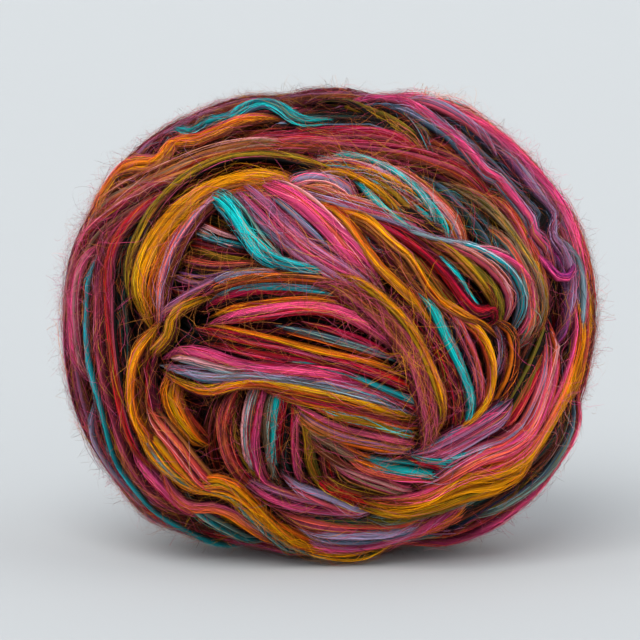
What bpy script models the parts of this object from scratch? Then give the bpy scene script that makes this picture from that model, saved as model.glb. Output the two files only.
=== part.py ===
"""A hand-wound ball of wool roving, standing on the rim of its coil.

One thick, loose length of combed fibre is wound round and round itself. Its turns make a ring with a
knot of crossing turns in the middle of the front face, and plainer turns over the rim and the back.
The whole ball is one solid: the turns are laid on a core, fused, and pressed flat where they stand.

Units are metres, +Z is up, and the front face looks along -Y, tipped a little upwards. The origin is
the middle of the flat spot that the ball rests on.
"""

from collections import namedtuple
from math import cos, radians, sin, sqrt

import bmesh
import bpy
from mathutils import Matrix, Vector

MM = 0.001

# The ball's outer skin is an egg shape whose front outline is a slightly squared ellipse.
HALF_WIDTH = 102 * MM
HALF_DEPTH = 78 * MM
HALF_HEIGHT = 92 * MM
SKIN = Vector((HALF_WIDTH, HALF_DEPTH, HALF_HEIGHT))
SQUARENESS = 2.25  # the exponent of that outline: 2 is a plain ellipse
FACE_TILT = radians(8)  # how far the front face looks up
FLATTENED = 4 * MM  # how much of the lowest turns is pressed flat by the ball's weight

CORE_INSET = 14 * MM  # the buried middle of the ball, below the outer skin
RIM_SHARE = 0.99  # a turn read past the outline is laid this near to the very edge
TURN_STEP = 4 * MM  # distance between the sections of a turn
TIP_SHARE = 0.14  # share of a turn's length over which each end narrows and is tucked in
TIP_THINNING = 0.5  # how thick a turn still is at its tips
TUCK = 6 * MM  # how deep its tips are pushed under the other turns
STRAND_OVERLAP = 1.35  # how far the strands of a turn run into each other, as a share of their width
CROWN = 0.34  # how far a turn's edges fall below its middle, as a share of its thickness

FUSE_GRAIN = 2.2 * MM  # grain of the mesh that fuses the turns
SOFTENING = 0.5  # how strongly the creases between turns are softened, and how many times
SOFTENING_PASSES = 2
FACES_KEPT = 0.165  # share of the fused faces that the finished solid keeps

WOOL_COLOUR = (0.36, 0.09, 0.10, 1)  # the mean of the dyed stripes, seen from far off
WOOL_ROUGHNESS = 0.9

# A turn is one visible stretch of the roving. width is across the turn and thick is its depth, both
# in millimetres. lift is how far its top stands above the ball's outer skin, or below it if negative.
# path is the middle of the turn, from end to end, in millimetres.
Turn = namedtuple("Turn", "name width thick lift path")

# Turns on the front face. Their points are (across, up), seen square to the face from its middle.
FRONT = (
    # the ring of turns round the edge, clockwise
    Turn("left_rim", 24, 13, 0, ((-34, -84), (-52, -81), (-68, -74), (-82, -60), (-92, -42), (-98, -22),
                                 (-99, -2), (-98, 14), (-95, 28), (-88, 40))),
    Turn("left_teal", 21, 12, 0, ((-26, -83), (-42, -81), (-56, -75), (-68, -66), (-78, -52), (-85, -35),
                                  (-88, -15), (-88, 5), (-87, 20), (-84, 30), (-77, 40), (-66, 50), (-52, 58),
                                  (-36, 62))),
    Turn("top_wave", 15, 11, 1, ((-92, 34), (-86, 46), (-80, 57), (-71, 61), (-63, 63), (-57, 70), (-50, 71),
                                 (-44, 75), (-31, 79), (-20, 80), (-10, 76), (0, 77), (12, 79), (22, 76),
                                 (31, 71), (38, 65))),
    Turn("top_edge", 18, 12, 0, ((-80, 56), (-64, 70), (-44, 80), (-22, 85), (0, 86), (16, 85), (32, 81))),
    Turn("right_kinked", 25, 13, 1, ((4, 85), (22, 83), (38, 79), (52, 71), (61, 60), (70, 54), (78, 46), (84, 38),
                                     (82, 31), (88, 22), (90, 12), (89, 0), (87, -12))),
    Turn("right_rim", 22, 13, 0, ((58, 73), (74, 60), (86, 46), (94, 32), (98, 16), (99, 0), (97, -16), (92, -34))),
    Turn("right_low_rim", 22, 13, 0, ((97, -20), (92, -38), (84, -54), (74, -66), (60, -77), (44, -84), (28, -86))),
    Turn("right_low_dark", 15, 11, 0, ((90, -36), (84, -49), (72, -61), (58, -71), (44, -78), (30, -82), (14, -84))),
    Turn("right_orange", 15, 12, 3, ((93, -8), (91, -22), (86, -36), (77, -48), (64, -56), (50, -62), (36, -68),
                                     (20, -71), (6, -72), (-8, -70))),
    Turn("bottom_orange", 19, 13, 3, ((42, -77), (28, -83), (12, -86), (-5, -85), (-18, -79), (-30, -68), (-42, -61),
                                      (-52, -60), (-62, -51), (-69, -40), (-73, -28), (-72, -14), (-69, -4))),
    Turn("low_coral", 13, 10, 1, ((-12, -86), (-24, -82), (-34, -75), (-43, -70), (-52, -67), (-60, -61), (-67, -53),
                                  (-72, -45))),
    Turn("left_orange", 18, 14, 5, ((-68, -5), (-71, 4), (-71, 14), (-68, 26), (-61, 38), (-52, 47), (-42, 53),
                                    (-30, 56), (-18, 55), (-6, 54))),
    Turn("upper_tan", 15, 11, 2, ((-98, 22), (-95, 31), (-88, 42), (-76, 50), (-62, 57), (-48, 64), (-34, 68),
                                  (-18, 68), (0, 67), (18, 67), (34, 64), (48, 58), (59, 51), (68, 42), (74, 32))),
    Turn("gold_line", 9, 8, 2, ((-62, 48), (-52, 57), (-40, 62), (-26, 62), (-12, 60), (3, 58), (14, 55))),
    # turns that come off the ring on the right, and cross towards the middle
    Turn("peach_band", 16, 12, 1, ((-14, 61), (1, 62), (16, 58), (28, 53), (38, 46), (45, 38), (49, 28))),
    Turn("green_gold", 18, 12, 0, ((22, 60), (38, 55), (50, 49), (60, 40), (68, 29), (74, 17), (78, 5), (76, -8),
                                   (71, -20), (66, -30))),
    Turn("gold_teal", 14, 10, -1, ((-3, 57), (8, 54), (17, 48), (25, 41), (31, 33))),
    Turn("lavender_knob", 10, 9, 2, ((-14, 51), (-6, 55), (3, 50))),
    Turn("peach_fuzz", 13, 11, 2, ((-24, 53), (-13, 50), (0, 47), (12, 43), (24, 37), (36, 32), (47, 29), (58, 27),
                                   (67, 20), (71, 10), (72, -2))),
    Turn("crimson_strand", 9, 8, 3, ((8, 40), (18, 36), (28, 29), (38, 20), (45, 10), (51, 6), (57, 7), (60, 4))),
    Turn("olive_strand", 14, 10, 0, ((30, 33), (40, 27), (50, 18), (58, 9), (66, 1), (68, -10))),
    Turn("gold_strand", 7, 6, 4, ((-12, 45), (2, 42), (14, 37), (22, 29), (28, 20), (34, 12), (42, 6), (52, 2),
                                  (62, 0), (66, -8), (65, -18))),
    Turn("dark_loop", 17, 12, 0, ((-2, 40), (12, 31), (22, 23), (32, 12), (40, 2), (47, -8), (52, -18), (52, -28),
                                  (46, -39))),
    Turn("inner_brown", 13, 10, -3, ((66, 2), (66, -11), (61, -24), (54, -34), (46, -42))),
    Turn("right_dark", 13, 10, -4, ((82, 12), (79, -1), (74, -12), (68, -24), (62, -34))),
    # the knot in the middle
    Turn("teal_pink_twist", 25, 17, 5, ((-31, 52), (-25, 42), (-14, 33), (-2, 26), (10, 19), (22, 12), (34, 5))),
    Turn("front_loop", 15, 12, 5, ((-14, 17), (0, 15), (12, 9), (21, 1), (28, -8), (34, -19), (39, -30), (40, -40),
                                   (35, -49))),
    Turn("pocket_strands", 22, 11, -6, ((-60, 34), (-50, 30), (-41, 27), (-31, 25), (-20, 26))),
    Turn("orchid_tail", 6, 6, -4, ((-61, 21), (-52, 17), (-42, 18), (-32, 21))),
    Turn("brown_arch", 11, 9, -3, ((-60, 8), (-51, 7), (-42, 12), (-32, 17), (-20, 18), (-8, 16), (4, 12), (14, 5))),
    Turn("crimson_arch", 8, 8, -5, ((-49, 5), (-36, 10), (-20, 12), (-5, 11), (6, 6), (15, -2))),
    Turn("pink_arch", 10, 9, -3, ((-47, 0), (-34, 3), (-20, 6), (-6, 7), (5, 3), (14, -4), (25, -12))),
    Turn("black_strands", 11, 8, -6, ((-51, -3), (-36, -2), (-20, -3), (-6, -5), (8, -8), (20, -12), (31, -19))),
    Turn("crimson_band", 13, 10, -3, ((-51, -6), (-36, -7), (-20, -9), (-4, -12), (10, -17), (22, -22), (35, -30))),
    Turn("mauve_strands", 8, 7, -4, ((-42, -12), (-20, -15), (0, -20), (14, -24), (28, -30), (38, -36))),
    Turn("pink_lavender", 14, 12, 1, ((-61, -15), (-50, -15), (-40, -18), (-28, -20), (-14, -21), (0, -24), (14, -28),
                                      (28, -33), (38, -39))),
    Turn("crimson_under", 7, 7, -3, ((-16, -27), (0, -30), (14, -33), (28, -37), (39, -42))),
    Turn("striped_fan", 37, 12, -4, ((-22, -22), (-22, -31), (-23, -42), (-20, -53), (-14, -63))),
    Turn("lens", 17, 12, -3, ((-14, -32), (-3, -37), (8, -41), (20, -44), (32, -45), (41, -47))),
    Turn("small_orange", 14, 10, -5, ((-64, -18), (-61, -28), (-56, -36), (-49, -45))),
    Turn("small_maroon", 13, 9, -7, ((-53, -25), (-47, -36), (-43, -48), (-34, -59))),
    Turn("left_inner", 10, 9, -1, ((-51, 11), (-58, 0), (-64, -10), (-68, -20), (-66, -31), (-58, -42))),
    # short bridges between the knot and the bottom of the ring
    Turn("bottom_mauve", 12, 10, -1, ((-33, -59), (-20, -64), (-6, -68), (8, -70), (22, -71))),
    Turn("bottom_lavender", 15, 12, 2, ((-25, -70), (-10, -75), (4, -78), (20, -77), (36, -73), (50, -67))),
    Turn("low_crimson", 9, 8, -2, ((-8, -59), (6, -64), (18, -67), (32, -69))),
    Turn("teal_coral", 16, 11, -2, ((6, -60), (18, -58), (30, -57), (42, -55), (54, -52))),
    Turn("mauve_bridge", 16, 12, 0, ((32, -51), (44, -46), (54, -41), (64, -36), (71, -30))),
    Turn("right_pink", 16, 12, 2, ((85, 2), (85, -14), (82, -27), (77, -38), (70, -47), (58, -51), (46, -56))),
)

# Turns on the back face, with (across, up) as on the front, so across still grows towards +X.
BACK = (
    Turn("back_top", 28, 12, 0, ((-72, 22), (-52, 42), (-20, 53), (14, 52), (46, 40), (70, 18))),
    Turn("back_upper", 26, 12, 0, ((-72, 4), (-42, 24), (-6, 34), (28, 30), (58, 12), (72, -10))),
    Turn("back_middle", 26, 12, -1, ((-74, -16), (-42, 2), (-8, 12), (26, 8), (52, -10), (64, -34))),
    Turn("back_lower", 26, 12, 0, ((-66, -38), (-36, -20), (-6, -10), (22, -16), (46, -36))),
    Turn("back_bottom", 26, 12, -1, ((-52, -56), (-24, -40), (4, -32), (28, -42), (48, -60))),
    Turn("back_foot", 26, 12, -1, ((-34, -68), (-4, -54), (28, -66))),
    Turn("back_cross", 26, 13, 4, ((-34, -62), (-50, -34), (-54, 0), (-44, 32), (-18, 58), (18, 68))),
    Turn("back_tail", 20, 12, 4, ((60, 42), (52, 14), (38, -8), (24, -34), (18, -60))),
)

# Turns over the rim, behind the edge that shows from the front. Their points are (degrees, depth):
# the angle round the rim from +X, up over the top, and the millimetres behind the widest place.
RIM = (
    Turn("rim_edge_low", 28, 11, 0, ((172, 12), (205, 0), (240, 8), (272, 14), (305, 6), (338, 2), (368, 14))),
    Turn("rim_edge_high", 28, 11, 0, ((-12, 4), (22, 12), (58, 2), (92, 10), (124, 14), (158, 2), (190, 12))),
    Turn("rim_back_low", 28, 12, 1, ((158, 20), (200, 34), (245, 26), (290, 36), (335, 24), (378, 30))),
    Turn("rim_back_high", 28, 12, 0, ((-22, 38), (22, 24), (60, 34), (100, 24), (140, 36), (178, 26))),
    Turn("rim_far_left", 28, 12, -1, ((66, 48), (110, 56), (155, 46), (200, 58), (240, 48), (278, 56))),
    Turn("rim_far_right", 28, 12, -1, ((-98, 48), (-50, 56), (-5, 46), (40, 58), (88, 48))),
    Turn("rim_fill_low", 22, 11, -3, ((168, 20), (215, 16), (260, 20), (300, 18), (345, 16), (382, 20))),
    Turn("rim_fill_high", 22, 11, -3, ((-17, 20), (40, 18), (80, 18), (120, 20), (167, 18))),
    Turn("rim_foot_front", 24, 12, -1, ((210, -14), (246, -26), (272, -30), (298, -26), (330, -12))),
    Turn("rim_foot_fill", 20, 11, -3, ((226, -40), (255, -46), (280, -46), (310, -39))),
)


def clear_scene():
    """Empties the scene that the script starts in."""
    for old in list(bpy.data.objects):
        bpy.data.objects.remove(old)


def new_collection(name, hidden=False):
    made = bpy.data.collections.new(name)
    made.hide_render = hidden
    bpy.context.scene.collection.children.link(made)
    return made


def wool_material():
    """Plain dyed wool in the ball's mean colour."""
    wool = bpy.data.materials.new("wool_roving")
    wool.use_nodes = True
    shader = wool.node_tree.nodes["Principled BSDF"]
    shader.inputs["Base Color"].default_value = WOOL_COLOUR
    shader.inputs["Roughness"].default_value = WOOL_ROUGHNESS
    shader.inputs["Metallic"].default_value = 0
    return wool


def smooth_line(points, pieces):
    """A smooth plane curve through the points, with so many pieces between each two of them."""
    ends = [points[0] * 2 - points[1], *points, points[-1] * 2 - points[-2]]
    line = []
    for before, start, end, after in zip(ends, ends[1:], ends[2:], ends[3:]):
        for i in range(pieces):
            t = i / pieces
            line.append(
                start
                + (end - before) * (t / 2)
                + (before * 2 - start * 5 + end * 4 - after) * (t * t / 2)
                + (start * 3 - before - end * 3 + after) * (t * t * t / 2)
            )
    return [*line, points[-1]]


def outline_share(across, up):
    """How far out (across, up) is, as a share of the way from the middle to the front outline."""
    squared = abs(across / HALF_WIDTH) ** SQUARENESS + abs(up / HALF_HEIGHT) ** SQUARENESS
    return squared ** (1 / SQUARENESS)


def onto_skin(point):
    """The place on the ball's outer skin that lies straight out from its middle through the point."""
    return point / sqrt(outline_share(point.x, point.z) ** 2 + (point.y / HALF_DEPTH) ** 2)


def face_place(across, up, toward):
    """The place on the skin that shows at (across, up); toward is -1 on the front and 1 on the back."""
    share = outline_share(across, up)
    inward = min(1, RIM_SHARE / share) if share else 1
    depth = HALF_DEPTH * sqrt(1 - (share * inward) ** 2)
    return Vector((across * inward, toward * depth, up * inward))


def rim_place(degrees, depth):
    """The place on the skin at this angle round the rim, this far behind the widest place."""
    around = radians(degrees)
    edge = Vector((HALF_WIDTH * cos(around), 0, HALF_HEIGHT * sin(around)))
    share = sqrt(1 - (depth / HALF_DEPTH) ** 2) / outline_share(edge.x, edge.z)
    return Vector((edge.x * share, depth, edge.z * share))


def even_steps(line, step):
    """The same line with its points this far apart."""
    kept = [line[0]]
    for point in line[1:-1]:
        if (point - kept[-1]).length >= step:
            kept.append(point)
    return [*kept, line[-1]]


def turn_line(turn, group):
    """The middle of a turn's outer face, as evenly spaced places on the skin."""
    if group == "rim":
        plan = smooth_line([Vector(p) for p in turn.path], 24)
        line = [rim_place(degrees, depth * MM) for degrees, depth in plan]
    else:
        toward = -1 if group == "front" else 1
        plan = smooth_line([Vector(p) * MM for p in turn.path], 24)
        line = [face_place(across, up, toward) for across, up in plan]
    return even_steps(line, TURN_STEP)


def tip_taper(share):
    """1 along a turn, falling smoothly to 0 at its two tips."""
    t = min(1, share / TIP_SHARE, (1 - share) / TIP_SHARE)
    return t * t * (3 - 2 * t)


def strand_curve(turn, line, offset, drop, radius):
    """A round strand of the turn, beside and below its middle line, as a curve object in the ball's frame."""
    data = bpy.data.curves.new(turn.name, "CURVE")
    data.dimensions = "3D"
    data.bevel_depth = radius
    data.bevel_resolution = 2
    data.use_fill_caps = True
    spline = data.splines.new("POLY")
    spline.points.add(len(line) - 1)
    for i, place in enumerate(line):
        along = line[min(i + 1, len(line) - 1)] - line[max(i - 1, 0)]
        taper = tip_taper(i / (len(line) - 1))
        thinning = TIP_THINNING + (1 - TIP_THINNING) * taper
        outward = Vector(p / half**2 for p, half in zip(place, SKIN)).normalized()
        sideways = along.cross(outward).normalized()
        laid = onto_skin(place + sideways * offset * thinning)
        height = turn.lift * MM - (drop + radius) * thinning - TUCK * (1 - taper)
        spline.points[i].co = (*(laid + outward * height), 1)
        spline.points[i].radius = thinning
    return bpy.data.objects.new(turn.name, data)


def turn_strands(turn, group):
    """The round strands that lie side by side in one turn."""
    line = turn_line(turn, group)
    radius = turn.thick / 2 * MM
    spare = turn.width * MM / 2 - radius
    count = max(1, round(turn.width / turn.thick * STRAND_OVERLAP))
    sides = [2 * i / (count - 1) - 1 for i in range(count)] if count > 1 else [0]
    return [strand_curve(turn, line, spare * side, CROWN * turn.thick * MM * side**2, radius) for side in sides]


def solid_mesh(curve):
    """The curve's closed mesh, with its caps welded on. The curve is removed."""
    bpy.context.scene.collection.objects.link(curve)
    bpy.context.view_layer.update()
    evaluated = curve.evaluated_get(bpy.context.evaluated_depsgraph_get())
    mesh = bpy.data.meshes.new_from_object(evaluated)
    bpy.data.objects.remove(curve)
    shape = bmesh.new()
    shape.from_mesh(mesh)
    bmesh.ops.remove_doubles(shape, verts=shape.verts, dist=0.01 * MM)
    shape.to_mesh(mesh)
    shape.free()
    return mesh


def wound_mesh(upright):
    """The core and every strand, overlapping in one mesh, turned by the matrix into the ball's stance."""
    shape = bmesh.new()
    core = Matrix.Diagonal([*(half - CORE_INSET for half in SKIN), 1])
    bmesh.ops.create_uvsphere(shape, u_segments=64, v_segments=32, radius=1, matrix=core)
    for group, turns in (("front", FRONT), ("back", BACK), ("rim", RIM)):
        for turn in turns:
            for curve in turn_strands(turn, group):
                mesh = solid_mesh(curve)
                shape.from_mesh(mesh)
                bpy.data.meshes.remove(mesh)
    bmesh.ops.transform(shape, matrix=upright, verts=shape.verts)
    mesh = bpy.data.meshes.new("roving_ball")
    shape.to_mesh(mesh)
    shape.free()
    return mesh


def floor_cutter(collection):
    """A slab under the floor, which presses the ball's flat spot."""
    bpy.ops.mesh.primitive_cube_add(size=1)
    slab = bpy.context.object
    slab.name = "floor_cutter"
    slab.dimensions = (4 * HALF_WIDTH, 4 * HALF_DEPTH, HALF_HEIGHT)
    bpy.ops.object.transform_apply(location=False, rotation=False, scale=True)
    slab.location.z = -HALF_HEIGHT / 2
    slab.hide_render = True
    slab.display_type = "WIRE"
    for old in list(slab.users_collection):
        old.objects.unlink(slab)
    collection.objects.link(slab)
    return slab


def roving_ball(parts, cutters):
    """The wound ball: its turns fused into one solid, with soft creases and a flat spot."""
    lowest = sqrt((HALF_HEIGHT * cos(FACE_TILT)) ** 2 + (HALF_DEPTH * sin(FACE_TILT)) ** 2)
    centre = Matrix.Translation((0, 0, lowest - FLATTENED))
    ball = bpy.data.objects.new("roving_ball", wound_mesh(centre @ Matrix.Rotation(-FACE_TILT, 4, "X")))
    parts.objects.link(ball)
    fuse = ball.modifiers.new("fuse_turns", "REMESH")
    fuse.mode = "VOXEL"
    fuse.voxel_size = FUSE_GRAIN
    fuse.use_smooth_shade = True
    soften = ball.modifiers.new("soften_creases", "SMOOTH")
    soften.factor = SOFTENING
    soften.iterations = SOFTENING_PASSES
    thin = ball.modifiers.new("thin_faces", "DECIMATE")
    thin.ratio = FACES_KEPT
    press = ball.modifiers.new("press_flat", "BOOLEAN")
    press.operation = "DIFFERENCE"
    press.object = floor_cutter(cutters)
    ball.data.materials.append(wool_material())
    return ball


def main():
    clear_scene()
    parts = new_collection("wool roving ball")
    cutters = new_collection("cutters", hidden=True)
    roving_ball(parts, cutters)


main()
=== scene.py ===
"""The looks of a hand-wound ball of dyed wool roving.

Every turn of the roving is a bundle of strands that lie side by side. A strand is a soft, tapered body
with combed fibres laid along it, each fibre a thin ribbon. A turn's colours are a list of dye stripes
across it, and each fibre takes the stripe that it lies in. A dark bed of wool shows between the turns,
and loose hairs stand off them. Shade is painted into the wool's colour: in the hollows, under the
fibres, down the strands' sides, at their tucked tips, in the partings and on turns that lie low.
"""

from collections import namedtuple
from math import cos, pi, radians, sin, sqrt

import bpy
import numpy as np
from bpy.props import FloatProperty, FloatVectorProperty, IntProperty, PointerProperty
from mathutils import Matrix, Vector


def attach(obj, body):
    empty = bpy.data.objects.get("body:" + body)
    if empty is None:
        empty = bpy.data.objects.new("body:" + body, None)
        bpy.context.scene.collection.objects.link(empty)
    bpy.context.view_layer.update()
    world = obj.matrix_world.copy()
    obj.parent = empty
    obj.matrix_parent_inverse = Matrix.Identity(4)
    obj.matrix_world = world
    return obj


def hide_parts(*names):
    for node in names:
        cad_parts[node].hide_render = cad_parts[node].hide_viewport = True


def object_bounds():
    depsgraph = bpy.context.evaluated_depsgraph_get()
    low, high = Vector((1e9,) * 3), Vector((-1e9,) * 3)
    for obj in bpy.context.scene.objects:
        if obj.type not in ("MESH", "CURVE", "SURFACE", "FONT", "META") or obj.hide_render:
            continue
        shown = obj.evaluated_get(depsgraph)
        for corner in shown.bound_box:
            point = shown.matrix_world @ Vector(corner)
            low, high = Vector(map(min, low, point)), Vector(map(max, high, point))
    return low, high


bl_info = {
    "name": "Wool roving ball",
    "version": (1, 0, 0),
    "blender": (4, 5, 0),
    "location": "3D View > Sidebar > Roving",
    "description": "Winds a ball of dyed wool roving from strands and fibres",
    "category": "Add Mesh",
}

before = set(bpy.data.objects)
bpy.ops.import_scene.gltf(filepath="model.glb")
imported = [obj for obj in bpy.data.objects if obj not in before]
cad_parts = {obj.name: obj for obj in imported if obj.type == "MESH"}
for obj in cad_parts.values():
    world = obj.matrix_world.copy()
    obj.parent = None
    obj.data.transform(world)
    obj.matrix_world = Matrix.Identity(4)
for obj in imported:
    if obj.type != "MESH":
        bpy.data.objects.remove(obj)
CAD_LOW, CAD_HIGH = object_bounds()

MM = 0.001
NODE = "roving_ball"
BODY = "root"

# The ball, in millimetres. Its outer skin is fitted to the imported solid, whose turns sink a little below
# it, and is pressed flat where the ball stands.
SUNK = 1.0  # how far the solid's turns lie below the skin
FLATTENED = 3.0  # how far it is pressed in there
HALF_WIDTH = (CAD_HIGH.x - CAD_LOW.x) / 2 / MM + SUNK
HALF_DEPTH = (CAD_HIGH.y - CAD_LOW.y) / 2 / MM + SUNK
HALF_HEIGHT = (CAD_HIGH.z - CAD_LOW.z) / 2 / MM
SKIN = np.array((HALF_WIDTH, HALF_DEPTH, HALF_HEIGHT))
SQUARENESS = 2.25  # the exponent of the front outline: 2 is a plain ellipse
FACE_TILT = radians(8)  # how far the front face looks up
CENTRE_Z = sqrt((HALF_HEIGHT * cos(FACE_TILT)) ** 2 + (HALF_DEPTH * sin(FACE_TILT)) ** 2) - FLATTENED
# Where the front outline is drawn in, or bulges where the share is below 0: the angle round the rim from
# +X, up over the top, how far that reaches, both in degrees, and the share of the way to the middle.
UNEVEN = ((-15, 12, 0.025), (-70, 8, 0.035), (-109, 9, 0.03), (-132, 9, -0.025), (-52, 7, -0.022),
          (36, 9, 0.018), (60, 7, -0.03), (78, 6, 0.025), (102, 6, 0.02), (152, 9, 0.015))
RIM_SHARE = 0.99  # a turn read past the outline is laid this near to the very edge
FLOOR_CLEARANCE = 0.1  # how high the pressed fibres lie above the floor

# A turn, in millimetres.
PATH_STEP = 2.0  # between the places that a turn is worked out at
TIP_SHARE = 0.28  # share of a turn's length over which each end narrows and is tucked in
TIP_REACH = 26.0  # but never more than this
TIP_THINNING = 0.1  # how wide and thick a turn still is at its tips, as a share
TUCK = 7.5  # how deep its tips are pushed under the other turns
CROWN = 0.34  # how far a turn's edges fall below its middle, as a share of its thickness
PINCH_REACH = 9.0  # how far along a turn a pinch draws it in
PINCH_DEPTH = 0.42  # and by what share of its width
PINCH_SINK = 1.5  # and how far down
COIL_STEP = 28  # degrees between the points of a turn over the rim
COIL_SWAY = 3.5  # how far such a turn sways to and fro
COIL_SWAYS = 1.7  # and how often in one round

# The strands of a turn, in millimetres.
STRAND_WIDTH = 3.8  # about how wide a strand is
STRAND_SPAN = 0.86  # share of a turn's width that the middles of its strands span
TURN_SWAY = 0.07  # how far its strands sway together, as a share of its width
STRAND_SWAY = 0.5  # how far a strand sways by itself, as a share of its own width
MOST_SWAY = 1.8  # but never more than this
STRAND_SWELL = 0.3  # how much its width swells and shrinks, as a share of it
HALF_STRAND = 0.63  # half its width, as a share of its stripe: it overlaps its neighbours
HALF_WIDTHS = (0.85, 4.0)  # the least and the most half a width
ROUNDNESS = 1.1  # its thickness, as a share of its width
LEAST_HALF_THICK = 1.3
STRAND_RISE = 0.7  # how far it rises and falls on its way
STRAND_LEVELS = (-0.8, 0.4)  # how low and how high it lies among the others

# The strands' bodies.
BODY_STEP = 6.0  # between the sections of a strand's body, in millimetres
BODY_SIDES = 6
BODY_SHARE = 0.94  # how wide and thick a body is, as a share of the strand
BODY_PAINTED_SHADE = 0.5  # how much painted shade the top of a body gets under its fibres, where 1 is a deep hollow
TIP_PAINTED_SHADE = 0.8  # how much painted shade darkens the tucked tips of strands and fibres
WOOL_UNIT = 100  # millimetres of wool for each unit of the Wool UVs
BAKE_COLUMNS = 40  # ribbons side by side on a piece's bake map
BODIES_BAKE = 0.25  # share of that map that the strands' bodies take
BODY_CELL = ((0.01, 0.99), (0.05, 0.95))  # the part of its cell there that each body fills, along and across
RIBBON_CELL = ((0.02, 0.98), (0.1, 0.9))  # and each ribbon

# The fibres on a strand.
ARC_FACTOR = 2.9  # how far it is across a strand's outer side, as a multiple of its mean radius
FIBRE_SPREAD = (0.6, 1.4)  # the least and the most length and width, as shares of the mean
FIBRE_END = 0.08  # fibres end over this share of the strand's length at either tip
LEAST_FIBRE = 2  # millimetres
FIBRE_SIDE = 1.45  # how far down a strand's sides fibres lie, in radians from its top
FIBRE_WAVE = 14  # millimetres between the waves across the strand
FIBRE_BOW = 9  # and between those away from it
BOW_SHARE = 0.06  # how far these go, as a share of the strand's thickness
BOW_POWER = 8  # and how fast that grows for fibres that lie further off
OFF_SPREAD = 0.2  # how much further off some fibres lie
TIP_PART = 0.18  # share of a fibre that each of its tips is
LOOSE_TIP, LAID_TIP = 0.35, -0.16  # how far loose tips rise and the others dip
RIBBON_TILT = 0.35  # radians
RIBBON_POINT = 0.12  # share of its length over which a ribbon narrows to a point
RIBBON_BLUNT = 0.02  # and the square of how wide that point still is
FRAY = 0.9  # how far, in millimetres, a fibre strays from its stripe
DRIFT = 1.5  # and how far the stripes drift sideways along a turn
DRIFT_PERIOD = 34
SIDE_SHADE = 0.95  # the power of how fast painted shade darkens fibres down a strand's sides
GRAIN = 0.003  # how far a fibre's Wool UV strays, so that no two have the same grain

# What hides what.
BED_INSET = 13.0  # the dark bed under the turns, in millimetres below the outer skin
BED_PAINTED_SHADE = 0.7  # how much painted shade darkens it
BURIED = 3.6  # a fibre this far below what is wound over it doesn't show
BURIED_SHARE = 0.85  # where this share of its length is so far down
DIRECTION_CELLS = 44  # cells along each half axis of the map of what is wound over what
COVER_LEANS = (-1.0, -0.5, 0.0, 0.5, 1.0)  # where that map reads a strand, in radians from its top
SHADE_PER_MM = 0.1  # how fast the painted shade of turns deepens with how low they lie
LIT_ABOVE = -1  # from this lift down
DARKEST = 0.7

# The photographed view: the camera looks square at the front face.
PHOTO_PIXELS = 640
MM_PER_PIXEL = 0.3735
BALL_MIDDLE_PIXEL = (330, 324)
CAMERA_DISTANCE = 2.4  # metres
SENSOR = 36.0

# The stage: each light's name, where it shines from, how soft it is in degrees, and its strength.
FLOOR_COLOUR = "B5B8B9"
AIR_COLOUR, AIR_STRENGTH = "E8ECF2", 0.82
LIGHTS = (
    ("key", (-0.3, -1.0, 1.0), 40, 2.3),
    ("front", (0.1, -1.0, 0.12), 60, 1.35),
    ("left", (-1.0, -0.3, 0.25), 60, 1.1),
    ("right", (1.0, -0.3, 0.25), 60, 1.1),
)


def linear(code):
    """The linear colour of a colour written as hexadecimal red, green and blue."""
    shares = [int(code[i : i + 2], 16) / 255 for i in (0, 2, 4)]
    return tuple(c / 12.92 if c <= 0.04045 else ((c + 0.055) / 1.055) ** 2.4 for c in shares)


def dye_property(name, code):
    """The setting for one dye, whose default is a colour written as hexadecimal."""
    return FloatVectorProperty(
        name=name,
        description=f"Colour of the {name.lower()} stripes",
        subtype="COLOR",
        size=3,
        min=0,
        max=1,
        default=linear(code),
    )


class ROVING_PG_dyes(bpy.types.PropertyGroup):
    """The dyes of the roving's stripes."""

    marigold: dye_property("Marigold", "F09A00")
    orange: dye_property("Orange", "EC6E14")
    mustard: dye_property("Mustard", "B88A12")
    olive: dye_property("Olive", "77681E")
    tan: dye_property("Tan", "C27434")
    brown: dye_property("Brown", "6E301C")
    rust: dye_property("Rust", "A83A1C")
    coral: dye_property("Coral", "F2604A")
    crimson: dye_property("Crimson", "B8122E")
    scarlet: dye_property("Scarlet", "CC2228")
    pink: dye_property("Hot pink", "F8508A")
    rose: dye_property("Rose", "C24A68")
    orchid: dye_property("Orchid", "B03288")
    violet: dye_property("Violet", "74406C")
    mauve: dye_property("Mauve", "B06A90")
    lavender: dye_property("Lavender", "A898BC")
    slate: dye_property("Slate", "566C82")
    mint: dye_property("Mint", "86A49A")
    taupe: dye_property("Taupe", "8E7058")
    teal: dye_property("Teal", "10C6C6")
    sea: dye_property("Sea", "1F98A2")
    sky: dye_property("Pale blue", "A9C4CE")
    # Blush is partly pale pink fibres and partly a painted highlight on bright crowns and along the lit
    # outline.
    blush: dye_property("Blush", "F0A2A4")
    green: dye_property("Dark green", "20403A")
    wine: dye_property("Wine", "5C1026")
    navy: dye_property("Navy", "1C2038")
    black: dye_property("Black", "16100F")


DYES = tuple(ROVING_PG_dyes.__annotations__)
WOOL = "combed_wool"


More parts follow.
